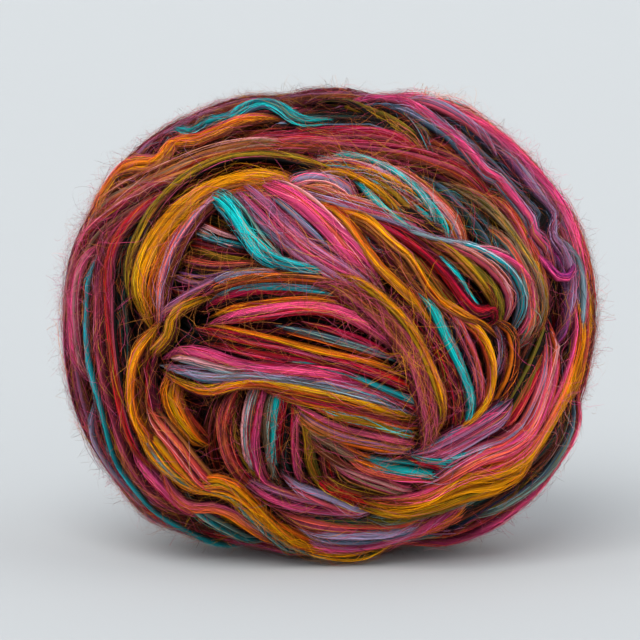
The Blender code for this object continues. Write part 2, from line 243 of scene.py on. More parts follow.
class ROVING_PG_wool(bpy.types.PropertyGroup):
    """The fibres and the loose hairs."""

    fibre_width: FloatProperty(
        name="Fibre width",
        description="Width of one combed fibre ribbon",
        unit="LENGTH",
        min=0.0001,
        max=0.001,
        default=0.00018,
        precision=5,
    )
    fibre_length: FloatProperty(
        name="Fibre length",
        description="Mean length of a combed fibre",
        unit="LENGTH",
        min=0.01,
        max=0.12,
        default=0.045,
    )
    cover: FloatProperty(
        name="Cover",
        description="How many times the fibres cover each strand",
        min=0.2,
        max=3,
        default=0.8,
    )
    haze: FloatProperty(
        name="Haze",
        description="How many times fine, wavy fibres cover each turn",
        min=0,
        max=1,
        default=0.37,
    )
    long_hairs: IntProperty(
        name="Long hairs",
        description="Number of long loose hairs that stand off the ball",
        min=0,
        max=6000,
        default=1600,
    )
    short_hairs: IntProperty(
        name="Short hairs",
        description="Number of short loose hairs that stand off the ball",
        min=0,
        max=12000,
        default=6500,
    )
    hair_width: FloatProperty(
        name="Hair width",
        description="Width of a loose hair",
        unit="LENGTH",
        min=0.00002,
        max=0.0005,
        default=0.00006,
        precision=5,
    )
    seed: IntProperty(name="Seed", description="Seed of everything random", min=0, default=11)


# A turn is one visible stretch of the roving. width, thick and lift are in millimetres, and lift is how
# far its top stands above the outer skin. dyes are its stripes from the left of its way to the right, each
# with its share of the width. path is its middle, and pinches are the shares of its length where it is
# drawn in.
Turn = namedtuple("Turn", "width thick lift dyes path pinches", defaults=((),))

# How fibres lie on a strand: their length and width as shares of the combed fibre's, the millimetres
# between their sections, how steeply they slant across it and how much they wave, both in radians, how far
# they stand off it, and how many of them have a loose tip, another stripe's dye or a dye of the haze.
Lay = namedtuple("Lay", "length width step slant wave off loose stray plain")
COMBED = Lay(1.0, 1.0, 5, 0.024, 0.42, 1.0, 0.14, 0.06, 0.06)
COARSE = Lay(1.5, 2.8, 8.5, 0.014, 0.26, 1.0, 0.1, 0.06, 0.0)
HAZE = Lay(0.5, 0.58, 3.2, 0.08, 1.6, 1.12, 0.4, 0.3, 0.6)


def coil(start, end, near, far):
    """The path of a turn wound over the rim from start to end degrees, its depth going from near to far."""
    angles = np.linspace(start, end, 2 + round(abs(end - start) / COIL_STEP))
    sway = COIL_SWAY * np.sin(np.radians(angles) * COIL_SWAYS + near)
    return tuple(zip(angles, np.linspace(near, far, len(angles)) + sway))


# A piece is the turns that lie together. where is the face its turns are on: "front" and "back" have
# paths of (across, up) in millimetres, seen square to the front, so across always grows towards +X, and
# "rim" has paths of (degrees, depth), the angle round the rim from +X, up over the top, and the
# millimetres behind the widest place. lay is how its fibres lie, and fuzz how much haze lies over it.
Piece = namedtuple("Piece", "where lay fuzz turns")

RING_TOP = (
    Turn(16, 12, 0, "tan 1 rose 3 wine 3 mauve 2 brown 3 wine 2",
         ((-86, 50), (-76, 60.5), (-64, 70.5), (-44, 80.5), (-22, 86), (0, 87), (16, 86), (30, 83),
          (42, 79))),
    Turn(5, 5, 1, "olive 1 mustard 2 black 1", ((-8, 87), (6, 84), (17, 79), (26, 73), (34, 66), (38, 58))),
    Turn(6, 6, 1, "slate 2 sea 1 black 2",
         ((2, 87.5), (14, 84.5), (24, 80), (32, 74.5), (37, 67), (42, 59))),
    Turn(5, 6, 2.5, "brown 1 sea 2 teal 2 slate 1",
         ((-68, 66), (-61, 73), (-57, 74.5), (-53, 72.5), (-49, 73), (-46, 76.5), (-38, 77), (-31, 81.5),
          (-24, 83), (-18, 81), (-13, 77), (-8, 76), (-1, 78), (8, 81))),
    Turn(5, 6, 0, "slate 2 wine 1 black 1", ((-76, 60), (-68, 66), (-60, 71), (-52, 70), (-42, 73))),
    Turn(9, 8, 3.2, "rose 1 pink 1 coral 1 orange 2 marigold 3 tan 1 brown 1",
         ((-95, 26), (-91, 38), (-85, 50), (-79, 58.5), (-72, 60.5), (-66, 60), (-62, 63), (-58, 68),
          (-50, 68.5), (-42, 72), (-33, 76), (-22, 79), (-12, 81))),
    Turn(5, 6, 1, "wine 1 crimson 3 rose 1",
         ((-42, 70), (-28, 71.5), (-12, 71), (4, 72), (18, 71.5), (28, 68), (38, 62), (46, 55))),
    Turn(13, 10, 2, "tan 2 blush 1 brown 1 tan 2 taupe 2 rust 1 tan 2 brown 1",
         ((-97, 18), (-94, 30), (-87, 43), (-76, 51), (-62, 57), (-48, 63), (-34, 66.5), (-20, 68),
          (-4, 67))),
    Turn(12, 9, 2, "rose 2 tan 1 crimson 2 rose 2 rust 2 brown 2 wine 2",
         ((-36, 67), (-20, 68), (0, 66.5), (18, 65), (34, 61.5), (48, 56), (58, 50), (66, 42))),
    Turn(8, 7, 0, "brown 2 wine 2 rust 1 brown 2 rose 1",
         ((26, 71), (38, 68), (50, 62), (60, 53), (68, 44))),
    Turn(9, 9, 1.5, "blush 1 pink 2 rose 1 crimson 1 wine 2 taupe 1",
         ((-100, 12), (-96, 24), (-89, 35.5), (-79, 43.5), (-66, 51), (-54, 56), (-44, 60))),
    Turn(4.5, 5, 2, "olive 2 mustard 2 brown 1 black 1",
         ((-76.5, 2), (-76, 14), (-73, 27), (-66, 40.5), (-56, 52), (-46, 58.5), (-36, 61.8), (-24, 62.5),
          (-10, 60.5), (2, 57.5), (12, 53))),
    Turn(13, 13, 4, "marigold 3 mustard 1 marigold 5 tan 1 orange 3 brown 1",
         ((-69, -5), (-70.5, 5), (-70, 16), (-66, 28), (-60, 37.5), (-51.5, 46), (-42, 51), (-32, 53.8),
          (-22, 54.4), (-13, 53), (-5, 50)), (0.03,)),
    Turn(8, 9, 2, "orange 1 rose 2 coral 1 lavender 1 mauve 1 brown 2 wine 1",
         ((-67, -6), (-64, 4), (-62, 17), (-57, 29), (-50, 39.5), (-43, 46), (-34, 50), (-24, 51))),
)

RING_LEFT = (
    Turn(13, 12, 0, "tan 1 rose 2 pink 1 blush 1 mauve 2 slate 1 wine 2 rose 2 mauve 1 brown 1",
         ((-44, -82), (-60, -77.5), (-75, -67), (-86, -54), (-93, -39), (-97, -22), (-98.5, -4), (-98, 12),
          (-95, 26), (-88, 38), (-78, 46))),
    Turn(1.7, 5, 2.6, "sea 1",
         ((-24, -84.5), (-34, -84.5), (-46, -81), (-57, -76), (-67, -69.5), (-74.5, -60), (-80.5, -50),
          (-84, -38), (-87.5, -24), (-90, -10), (-90.5, 4), (-90, 16), (-87, 27), (-80, 36))),
    Turn(6, 8, 2, "rose 2 pink 2 blush 1 rose 1",
         ((-92, -26), (-95.5, -14), (-97, 0), (-96.5, 12), (-93.5, 24), (-87, 35))),
    Turn(4, 6, 1, "slate 2 lavender 1 rose 1",
         ((-60, -75.5), (-72, -66), (-82, -54), (-89, -41), (-92, -28))),
    Turn(9, 10, 1, "mauve 1 wine 2 brown 2 rose 1 wine 2 black 1",
         ((-44, -76), (-58, -70.5), (-71, -58), (-78.5, -43), (-83, -25), (-86, -7), (-86.5, 9),
          (-86.5, 21), (-83, 32), (-74, 42), (-64, 48))),
    Turn(4.6, 8, 2.5, "wine 1 rust 1 crimson 3 rose 1 black 1",
         ((-60, -62), (-70, -51), (-76, -37), (-79.5, -21), (-81.5, -5), (-82.5, 9), (-82, 23), (-77, 35),
          (-68, 44.5), (-58, 51), (-48, 56))),
    Turn(6, 8, -1, "green 2 black 3 green 1",
         ((-64, -54), (-71, -44), (-75.5, -31), (-77, -16), (-77.5, -2), (-78.5, 12), (-76, 28), (-70, 38),
          (-60, 48))),
    Turn(7, 11, 4, "brown 1 orange 2 marigold 3 orange 1",
         ((-64, 4), (-67.5, -4), (-71, -11), (-73, -20), (-73, -31), (-70, -39), (-64, -48), (-57, -56))),
    Turn(8, 9, 0, "wine 1 rose 1 crimson 1 wine 2 black 1",
         ((-53, -48), (-60, -42), (-65.5, -32), (-67, -20), (-65, -10), (-58, -3))),
    Turn(5, 6, 1, "orange 1 mustard 1 marigold 1 brown 1",
         ((-68, -20), (-67, -12), (-63, -8), (-59.5, -4), (-57.5, 3), (-50, 8), (-42, 11))),
    Turn(5, 6, 0, "mauve 2 wine 1 rose 1", ((-66, -2), (-60, 4), (-52, 9), (-44, 14), (-36, 17))),
)

RING_LOW = (
    Turn(9, 11, 0, "wine 1 rose 2 slate 1 rose 2 tan 1",
         ((-88, -50), (-76, -67), (-62, -77), (-46, -82.5), (-28, -85), (-10, -88), (8, -89))),
    Turn(10, 9, -1, "wine 1 black 3 brown 2 black 2 brown 1",
         ((-76, -52), (-66, -65), (-54, -73.5), (-42, -79), (-30, -82), (-18, -84))),
    Turn(5, 7, 1, "rose 1 pink 2 crimson 1", ((-76, -42), (-70, -52), (-62, -62), (-52, -70), (-44, -75))),
    Turn(6, 7, 0, "mustard 2 olive 1 brown 1 mustard 1",
         ((-54, -67), (-44, -72), (-34, -78), (-24, -84), (-14, -87))),
    Turn(4, 6, 2.5, "mint 2 sea 2 olive 1", ((-58, -64), (-50, -70), (-40, -76), (-30, -81), (-20, -85))),
    Turn(4.5, 6, 3, "rose 1 coral 3 orange 1",
         ((-68, -52), (-60, -62.5), (-52, -68.5), (-43, -68.5), (-36, -71), (-27, -78), (-18, -84),
          (-8, -87))),
    Turn(5, 7, 3.5, "mint 1 sky 1 sea 2 olive 1 mustard 1",
         ((-42, -62), (-36, -66), (-29, -73), (-22, -80), (-14, -86), (-4, -88.5))),
    Turn(11, 12, 4, "orange 2 marigold 3 olive 1 mint 1 marigold 3 mustard 1",
         ((-75, -26), (-72, -37), (-65.5, -46.5), (-58, -55), (-49, -61.5), (-38, -64), (-30, -69.5),
          (-20, -78), (-8, -85), (6, -87.5), (20, -84.5), (34, -78.5)), (0.05, 0.36)),
    Turn(8, 10, 4, "tan 1 coral 2 blush 1 coral 1 rose 2",
         ((-72, -30), (-65, -37), (-57.5, -45), (-51.5, -53), (-46, -60), (-38, -66))),
    Turn(5, 8, 4, "orange 1 marigold 2 mustard 1 orange 1",
         ((-64, -58), (-57, -62), (-51, -61.5), (-45, -59), (-39.5, -59), (-34, -62.5), (-28, -69),
          (-21, -76), (-13, -82), (2, -86), (16, -85.5))),
    Turn(9, 9, 0, "rose 1 mauve 3 pink 2 mauve 2 wine 1",
         ((-38, -58), (-26, -62.5), (-12, -67.5), (4, -69.5), (16, -69), (26, -67))),
    Turn(4, 6, 1.5, "lavender 2 rose 1", ((-20, -58), (-10, -62.5), (0, -67), (10, -70.5), (20, -71))),
    Turn(6, 7, -1, "crimson 3 wine 1 mustard 1", ((-8, -58), (4, -63.5), (15, -67.5), (26, -68.5))),
    Turn(8, 8, 0, "black 2 green 2 olive 1 brown 1 orange 1",
         ((-28, -68), (-14, -72), (2, -73.5), (18, -74.5), (32, -73), (46, -68.5))),
    Turn(8, 9, 2, "coral 2 rose 2 brown 1 orange 1 rose 1",
         ((-26, -70), (-16, -74), (-4, -76.5), (10, -78), (24, -77.5), (38, -73), (48, -68))),
    Turn(7, 9, 2.5, "lavender 3 slate 1 mauve 2",
         ((-18, -76), (-8, -79), (6, -80.5), (20, -79.5), (34, -75.5), (44, -71))),
    Turn(6, 9, 3, "mauve 1 pink 3 coral 1",
         ((-24, -75), (-14, -80.5), (-2, -83.5), (12, -84), (26, -80.5), (40, -74.5), (52, -67.5),
          (60, -62))),
)

RING_LOW_RIGHT = (
    Turn(9, 12, 5, "marigold 6 orange 1 coral 1 pink 1",
         ((94.5, 18), (95, 0), (92.5, -14), (88, -27), (81, -39.5), (73, -49.5), (62.5, -55), (52, -58),
          (43.5, -62), (36, -66), (24, -68.5), (8, -69))),
    Turn(7.5, 10, 4.6, "marigold 3 mustard 1 marigold 3 orange 1",
         ((82, -43), (73, -54), (62, -60), (50, -63.5), (38, -68), (24, -70.5), (8, -71))),
    Turn(11, 11, 4.8, "orange 1 coral 3 pink 2 coral 3 blush 1 pink 1 coral 2 lavender 1 rose 1",
         ((84, 4), (84.5, -8), (83, -20), (79.5, -31.5), (74.5, -41), (66, -47), (57, -50), (48.5, -54.5),
          (40, -61), (30, -66))),
    Turn(2.2, 5, 5, "blush 2 orange 1", ((85, 0), (84, -12), (81, -24), (79, -33))),
    Turn(4.5, 7, 2, "coral 1 crimson 3 olive 1",
         ((85, 2), (80.5, -11), (73.5, -24), (67.5, -35), (61, -45))),
    Turn(6, 8, 1, "rose 2 lavender 2 slate 2 mauve 1",
         ((80, -14), (77, -26), (74, -36), (69, -44), (60, -49), (48, -51))),
    Turn(3, 6, 2.5, "slate 1 lavender 1 rose 1", ((76, -26), (73.5, -35), (70.5, -42), (64, -47))),
    Turn(6, 8, 1.5, "taupe 1 mint 2 slate 1 olive 1",
         ((95, -20), (90.5, -39), (83, -52.5), (72.5, -63), (60, -71), (47, -77))),
    Turn(8, 9, 1.5, "mint 2 taupe 1 olive 2 mint 1 mustard 1",
         ((66, -57.5), (53, -64), (38, -70), (24, -73.5), (8, -74.5))),
    Turn(10, 9, 1.5, "wine 1 black 3 brown 1 black 2 green 1 black 1",
         ((92, -18), (89, -33), (83.5, -45), (74, -55.5), (62, -64.5), (50, -72), (38, -78), (28, -82))),
    Turn(4, 7, 2, "wine 2 navy 1 brown 1", ((78, -55), (68, -62.5), (56, -70), (45, -76.5), (34, -80))),
    Turn(7, 11, 2, "slate 1 rose 1 blush 1 pink 3 coral 1",
         ((97, -18), (93, -37), (86, -52), (76, -64.5), (63, -74), (48, -81), (34, -84.5), (20, -86))),
    Turn(4.5, 7, 2, "coral 2 orange 2 pink 1",
         ((60, -64), (52, -69), (43, -74), (31, -79), (18, -82), (6, -84))),
    Turn(12.5, 12, 3,
         "wine 1 slate 1 lavender 1 pink 1 mauve 2 rose 1 mauve 2 pink 1 mauve 1 lavender 1 pink 1",
         ((27, -52), (36, -48.7), (45, -44.6), (54, -40), (64, -34), (72, -28))),
    Turn(1.8, 6, 3, "sky 1 sea 1", ((66, -42), (57, -45.8), (48, -48.8), (38, -50.5))),
    Turn(5, 6, 2, "wine 1 mauve 2 rose 1 wine 1", ((72, -36), (63, -42), (53, -46.5), (42, -50))),
    Turn(6, 7, 0, "wine 3 crimson 1 brown 1", ((70, -26), (66, -36), (61, -44))),
    Turn(7, 8, 1.2, "sea 1 teal 3 black 1 sea 1 black 1",
         ((8, -51), (20, -53), (30, -54.5), (39, -56.5), (48, -58.5))),
    Turn(3.2, 7, 2.4, "sea 1 teal 2", ((28, -49.5), (38, -50.8), (46, -52), (54, -53))),
    Turn(2.6, 5, 1, "crimson 2 wine 1", ((26, -50), (36, -52), (46, -54), (56, -55))),
    Turn(5, 8, 1.5, "orange 1 coral 3 pink 1",
         ((4, -51), (15, -54), (25, -56.3), (36, -57.8), (46, -59.5))),
    Turn(8, 9, 0, "rose 2 blush 1 taupe 1 rose 2 brown 2 olive 1",
         ((-2, -53), (8, -57), (18, -60.5), (28, -63.5), (40, -64.5))),
    Turn(6, 7, -1, "brown 2 mustard 1 black 1", ((-6, -57), (6, -62.5), (18, -66), (30, -68))),
)

RING_RIGHT = (
    Turn(11, 12, 2.2, "coral 1 blush 1 pink 4 rose 1 pink 2 mauve 1 rose 1",
         ((10, 87.5), (24, 87), (40, 83.5), (54, 77.5), (67, 68.5), (77, 58), (85, 47.5), (90.5, 37),
          (94, 25), (95, 10), (93, -4), (90, -15))),
    Turn(8, 10, 1.8, "orange 2 marigold 4 coral 1 rose 1",
         ((84, 48), (92.5, 30), (96.5, 13), (97.5, 0), (96, -14), (93, -27), (87, -41))),
    Turn(4, 6, 3.8, "blush 1 sea 1 sky 2 slate 1",
         ((88, 38), (92.5, 25), (94.5, 11), (93, -4), (90, -19), (86, -30))),
    Turn(3, 5, 1, "tan 2 orange 1 blush 1", ((16, 86.5), (30, 86), (43, 82.5), (54, 77))),
    Turn(7.5, 10, 2.8, "rose 1 mauve 2 lavender 1 mauve 1 violet 1",
         ((54, 75.5), (64, 67.5), (72, 58), (79, 48.5), (85.5, 41), (83.5, 34), (88.5, 26), (91, 14),
          (90, 2), (86, -9)), (0.48,)),
    Turn(8, 9, 2, "slate 1 navy 1 black 3 slate 1",
         ((34, 82), (46, 75.5), (55, 68), (62.5, 61), (69, 54), (76, 47), (81, 41), (79.5, 35), (83, 28),
          (86.5, 19)), (0.5,)),
    Turn(5.5, 8, 3.5, "lavender 1 pink 3 rose 1 slate 1",
         ((0, 86), (18, 85.5), (31, 82), (41.5, 74), (50, 66.5), (56, 59.5), (57.5, 57), (61.5, 55.5),
          (66, 50.5), (71.5, 44.5), (75.5, 38.5), (75.5, 34.5), (79, 32), (81.5, 27), (85, 21), (88, 12))),
    Turn(3.5, 6, 3, "lavender 2 slate 1", ((16, 84), (28, 80.5), (38, 74), (47, 67), (54, 59.5))),
    Turn(3.5, 6, 3.5, "lavender 2 mauve 1 rose 1", ((24, 87), (40, 82), (52, 75), (61, 66.5), (67, 59))),
    Turn(6, 8, 1, "orchid 2 violet 2 wine 1",
         ((78, 36), (84, 28.5), (88, 19), (89, 8), (87, -4), (83, -14))),
    Turn(3.6, 5, 4.5, "orchid 1 pink 1",
         ((79.5, 30), (80.5, 24), (82.5, 19.5), (86, 16.8), (89.5, 17.2), (92, 20.5), (93, 27))),
    Turn(10, 9, -2, "black 1 wine 2 black 2 brown 2 rose 1 black 2",
         ((38, 71), (50, 65), (60, 57), (68, 48), (74, 39), (78, 28), (82, 16), (83, 4), (80, -8))),
    Turn(4, 6, 0, "sea 2 green 1 black 1", ((56, 53), (64, 46), (70, 38.5), (74, 29))),
    Turn(7, 10, 1, "tan 1 rust 2 crimson 1 coral 2 rose 1 brown 1",
         ((52, 55), (62, 47.5), (69.5, 38), (75, 27), (78, 15), (78.5, 5), (77, -4), (73, -13))),
    Turn(4.5, 8, 3, "mustard 2 marigold 1 olive 1 taupe 2",
         ((36, 58), (48, 51.5), (57.5, 45), (65, 37), (71, 28.5), (77, 19), (80, 8), (78.5, -2),
          (75, -11))),
    Turn(5, 7, 2, "taupe 2 coral 1 mint 1",
         ((56, 41), (63, 34), (69, 25.5), (74, 15), (76, 3), (74, -6), (70, -13))),
    Turn(11, 9, -0.5, "green 2 sea 1 green 2 black 1 slate 1 green 2 black 1",
         ((24, 61), (36, 55), (47, 46.5), (56, 37), (62, 26), (66, 13), (66, 0))),
)

UPPER_RIGHT = (
    Turn(14, 12, 1.5, "tan 2 coral 2 blush 2 lavender 1 rose 1 marigold 1 lavender 1 black 1 teal 2 brown 1",
         ((-18, 60), (-4, 61.5), (12, 59.5), (26, 53.5), (37, 45), (45, 36), (49.5, 26), (50, 18))),
    Turn(11, 9, 0.5, "mustard 2 brown 2 olive 1 mustard 2 black 1 tan 1 brown 2 black 1",
         ((-12, 58), (4, 57.5), (14, 54), (22, 48.5), (29, 41), (35, 33), (38, 26))),
    Turn(2.4, 6, 3, "mustard 2 marigold 1", ((-8, 58), (6, 56), (15, 51), (22, 45), (30, 37))),
    Turn(2.6, 6, 3, "sky 1 teal 2",
         ((-8, 64.5), (5, 63), (17, 59.5), (27, 53.5), (34.5, 46), (39.5, 38.5), (42.5, 31))),
    Turn(5, 7, 2.2, "green 1 teal 3 mint 1",
         ((6, 59), (12, 53.5), (17.5, 47), (24, 41), (31, 36), (38, 33))),
    Turn(5, 6, 2.2, "black 3 brown 1 black 1", ((22, 45), (30, 40), (37, 35.5), (46, 33))),
    Turn(3.6, 7, 2, "black 1 teal 2 sea 1", ((24, 56), (32, 50), (37.5, 43), (42, 35.5), (44, 27))),
    Turn(7.5, 8, 2.5, "rose 1 lavender 2 pink 1 blush 1 coral 1",
         ((-20, 48), (-12, 53.5), (-3, 54.5), (5, 51.5), (12, 45))),
    Turn(6, 8, 2, "blush 1 coral 1 tan 1 rose 2 lavender 1",
         ((-30, 54), (-16, 52), (-2, 48), (12, 43.5), (24, 39.5), (36, 35.5), (48, 32), (58, 30))),
    Turn(2, 5, 2.5, "lavender 1 sky 1", ((24, 37), (34, 33), (46, 30.5), (58, 29))),
    Turn(4.5, 9, 2.5, "blush 1 pink 3 rose 2",
         ((42, 30), (53, 28), (63, 25.8), (71, 20.5), (74.5, 12), (74, 2), (70, -9))),
    Turn(4, 7, 2, "sky 1 sea 2 slate 1",
         ((38, 32), (50, 29), (59, 25), (67.5, 18.5), (71.5, 10), (70.5, 1), (67, -7))),
    Turn(4, 8, 1.5, "coral 2 blush 1 rose 2",
         ((34, 35), (44, 30), (54, 25), (62.5, 18), (67, 9), (66, -3))),
    Turn(6, 8, 0.5, "mustard 1 olive 2 brown 2 tan 1",
         ((22, 38), (34, 32.5), (46, 25.5), (56, 17), (62.5, 7), (63, -6))),
    Turn(2.2, 6, 2, "mustard 1 tan 1", ((32, 35), (42, 29), (51, 20.5), (58, 12), (64, 4))),
    Turn(3.8, 6, 2.5, "teal 3 navy 1", ((36, 28), (43, 22), (48.5, 16), (53, 9), (60, 3))),
    Turn(5, 8, 4, "wine 1 crimson 4 wine 1",
         ((6, 42), (15, 38.5), (23, 34.5), (31.5, 29), (38.7, 23), (45, 15.5), (50, 8), (55, 4),
          (60.5, 5.5), (62, 1), (57, -2))),
    Turn(3, 6, 4.5, "marigold 2 orange 1 tan 1",
         ((-12, 45), (3, 42.5), (14, 38.5), (22, 31), (30, 24.5), (35, 16), (40, 9), (48, 4), (59, -1),
          (67, -8))),
    Turn(6, 7, 1.5, "brown 2 tan 1 rust 1 brown 2 wine 1",
         ((-14, 42), (0, 40), (12, 35), (21, 26.5), (28, 17), (35, 8), (43, 1), (51, -5))),
    Turn(6, 7, 0, "brown 2 rust 1 olive 1 brown 1", ((22, 36), (32, 25), (40, 14), (47, 5), (54, -2))),
    Turn(9, 9, -1, "wine 1 slate 1 navy 2 wine 2 black 2 sea 1",
         ((-10, 42), (6, 37), (17, 29), (25, 20), (33, 10), (40, -1), (46, -10))),
)

TWIST = (
    Turn(15, 14, 4, "mauve 1 blush 1 rose 2 mauve 2 rose 2 pink 1 mauve 2 rose 1 lavender 1 slate 1",
         ((-42, 57), (-34, 52), (-25, 44), (-16, 35.5), (-7, 28), (3, 21.5), (14, 14), (24, 6))),
    Turn(9.5, 12, 6, "blush 1 pink 4 coral 1 pink 3 rose 1",
         ((-30, 57), (-20, 52), (-10, 46), (-1, 38), (6, 30), (13, 22), (20, 14))),
    Turn(4.5, 7, 5, "orange 2 marigold 2 tan 1",
         ((-12, 48), (0, 43.5), (7, 37), (12.5, 29), (19, 20.5), (27, 13), (35, 4), (40, -5))),
    Turn(1.6, 4, 6.6, "slate 1 lavender 1", ((-24, 50), (-15, 42), (-6, 33.5), (2, 26))),
    Turn(9, 9, 6, "mint 1 teal 5 sea 1",
         ((-48, 51), (-41, 47.5), (-34.5, 41), (-29, 33), (-23, 26), (-14, 21))),
    Turn(4.5, 7, 5, "mint 1 teal 1 sea 2 slate 1",
         ((-38, 44), (-32, 36), (-25, 27), (-17, 22.5), (-8, 20.5), (2, 19))),
    Turn(6, 7, 3, "slate 2 lavender 1 mauve 1", ((-38, 52), (-31, 47), (-24, 38), (-16, 29.5), (-7, 23))),
    Turn(3, 6, 4.5, "green 1 sea 1 black 1", ((-46, 47), (-39, 41), (-33, 33), (-27, 26), (-18, 21))),
)

POCKET = (
    Turn(7, 7, -8, "black 3 sea 1 black 2", ((-54, 43), (-45, 40.5), (-35, 37.5), (-24, 34))),
    Turn(3, 6, -6.5, "mustard 2 olive 1", ((-52, 41), (-44, 39), (-36, 36.5), (-26, 34))),
    Turn(4.4, 8, -2.2, "orange 1 blush 2 sky 3", ((-56, 38), (-47, 35), (-38, 31.5), (-27, 29.5))),
    Turn(2.4, 6, -3, "sea 2 slate 1", ((-52, 34), (-43, 31.5), (-35, 29.5), (-25, 28.5))),
    Turn(5, 8, -5, "crimson 3 rose 1 crimson 2 wine 1", ((-60, 33), (-50, 30.5), (-39, 27.8), (-26, 27))),
    Turn(3, 6, -5, "mustard 2 brown 1", ((-58, 29.5), (-48, 26.5), (-38, 23.8), (-26, 24))),
    Turn(4.5, 8, -4, "coral 2 rose 1 tan 1",
         ((-60, 26.5), (-52, 23.5), (-43, 21.5), (-32, 21.5), (-22, 23))),
    Turn(3, 7, -6, "black 2 brown 1", ((-62, 22.5), (-52, 19.5), (-44, 18.5), (-34, 20))),
    Turn(4.5, 7, -2.5, "violet 1 mauve 2 pink 1",
         ((-62, 21), (-55, 17.5), (-46, 16), (-37, 18.5), (-28, 22.5))),
    Turn(7, 7, -5, "wine 2 mauve 1 crimson 1 brown 1 black 2",
         ((-64, 14), (-54, 11), (-44, 10), (-34, 12))),
    Turn(3, 6, -1, "mauve 2 wine 1", ((-66, 2), (-59, 6.5), (-51, 10), (-44, 14))),
    Turn(9, 8, -4.5, "black 4 brown 1 black 1", ((-64, 4), (-56, 0), (-49, -6), (-42, -9))),
    Turn(12, 10, -2.5, "orange 2 marigold 2 orange 2 rust 1",
         ((-44, -49), (-51.5, -41), (-57, -33), (-59, -26), (-56, -15))),
    Turn(10, 8, -9, "black 2 brown 1 crimson 1 black 2", ((-42, -54), (-48, -45), (-50, -35), (-48, -26))),
)

ARCHES = (
    Turn(6, 8, 1.5, "black 2 brown 1 tan 2 brown 1 orange 1 brown 1",
         ((-54, 8), (-45, 13), (-31, 17.5), (-13, 18.5), (2, 16.5), (14, 11.5), (24, 3.5), (32, -6))),
    Turn(4, 6, 1.5, "taupe 1 lavender 2 sky 1 slate 1",
         ((-48, 13), (-38, 17), (-28, 18.5), (-17, 18.5), (-8, 18))),
    Turn(2, 5, 0.5, "slate 1 sea 1", ((-50, 5), (-40, 11), (-25, 13.8), (-8, 13.3), (6, 10.5), (16, 4))),
    Turn(4, 6, -1, "wine 1 crimson 3 black 1",
         ((-52, 4), (-38, 9.5), (-21, 12), (-4, 11), (8, 6.5), (19, -2))),
    Turn(1.8, 4, 0.5, "orange 2 marigold 1", ((-48, 2), (-34, 6.3), (-17, 9), (-1, 8.3), (10, 5))),
    Turn(5.5, 9, 1, "crimson 1 pink 4 rose 1 crimson 1",
         ((-50, -1.5), (-38, 2), (-24, 4.6), (-10, 6.5), (1, 5.5), (11, 1.5), (21, -6), (30, -15))),
    Turn(9, 7, -6, "black 2 wine 2 crimson 1 wine 1 black 1",
         ((-44, -2), (-26, -1), (-8, -3), (10, -8), (26, -15))),
    Turn(1.6, 4, -1.5, "slate 1 mint 1", ((-24, 0), (-10, -2.8), (4, -6.5), (20, -11.5), (30, -16.5))),
    Turn(2, 4, -2, "crimson 2 rose 1", ((-14, 2), (2, -2.5), (16, -8), (28, -15))),
    Turn(2, 4, -3, "rust 1 orange 1", ((-22, -1.5), (-4, -5.5), (12, -10.5), (26, -17.5))),
    Turn(2, 5, 0.5, "orange 1 marigold 1",
         ((-50, 0), (-38, -1.4), (-22, -5), (-6, -9), (10, -12.7), (22, -17), (32, -23))),
    Turn(5, 8, -0.5, "crimson 3 wine 1 rose 1 crimson 1 black 1",
         ((-56, -1), (-38, -4), (-18, -8.2), (0, -13), (17, -18.5), (32, -26), (40, -32))),
    Turn(3, 7, -2.5, "wine 1 black 2",
         ((-54, -4), (-36, -7.5), (-16, -11.5), (2, -16), (18, -22), (36, -31))),
    Turn(4, 8, -1, "crimson 2 wine 1 rose 1",
         ((-52, -6.5), (-34, -10), (-14, -14.5), (4, -19), (21, -25.5), (38, -34))),
    Turn(1.8, 4, 1, "sea 1", ((-28, -11), (-12, -14), (4, -17.5), (20, -23.7), (35, -31), (44, -37))),
    Turn(4.5, 7, -0.5, "mauve 2 crimson 1 wine 1 rose 1",
         ((-24, -14.5), (-6, -18.5), (10, -22.5), (26, -29), (42, -38))),
    Turn(5.5, 10, 4, "crimson 1 pink 4 rose 1",
         ((-66, -14), (-56, -10.5), (-46, -12.2), (-34, -15.8), (-20, -17), (-6, -17.8), (8, -21),
          (20, -27))),
    Turn(2.4, 6, 5, "blush 2 sky 1", ((-62, -13.5), (-54, -12.8), (-46, -15), (-37, -17.5), (-28, -17.5))),
    Turn(5.5, 9, 4, "rose 1 lavender 2 sky 1 sea 1 lavender 1 slate 1",
         ((-67, -16), (-55, -17.5), (-42, -19), (-28, -18.5), (-14, -20), (2, -23.5), (18, -28.5),
          (34, -36))),
    Turn(5.5, 8, 3.5, "mustard 1 marigold 2 orange 1 brown 1",
         ((-66, -18), (-56, -22.5), (-45, -24.7), (-35, -22), (-25, -21.3), (-12, -24), (4, -27.5),
          (20, -32.5), (36, -39))),
    Turn(4, 7, 1, "brown 1 crimson 2 rose 1 orange 1",
         ((-30, -24), (-12, -27.5), (6, -31.5), (22, -36), (38, -41))),
)

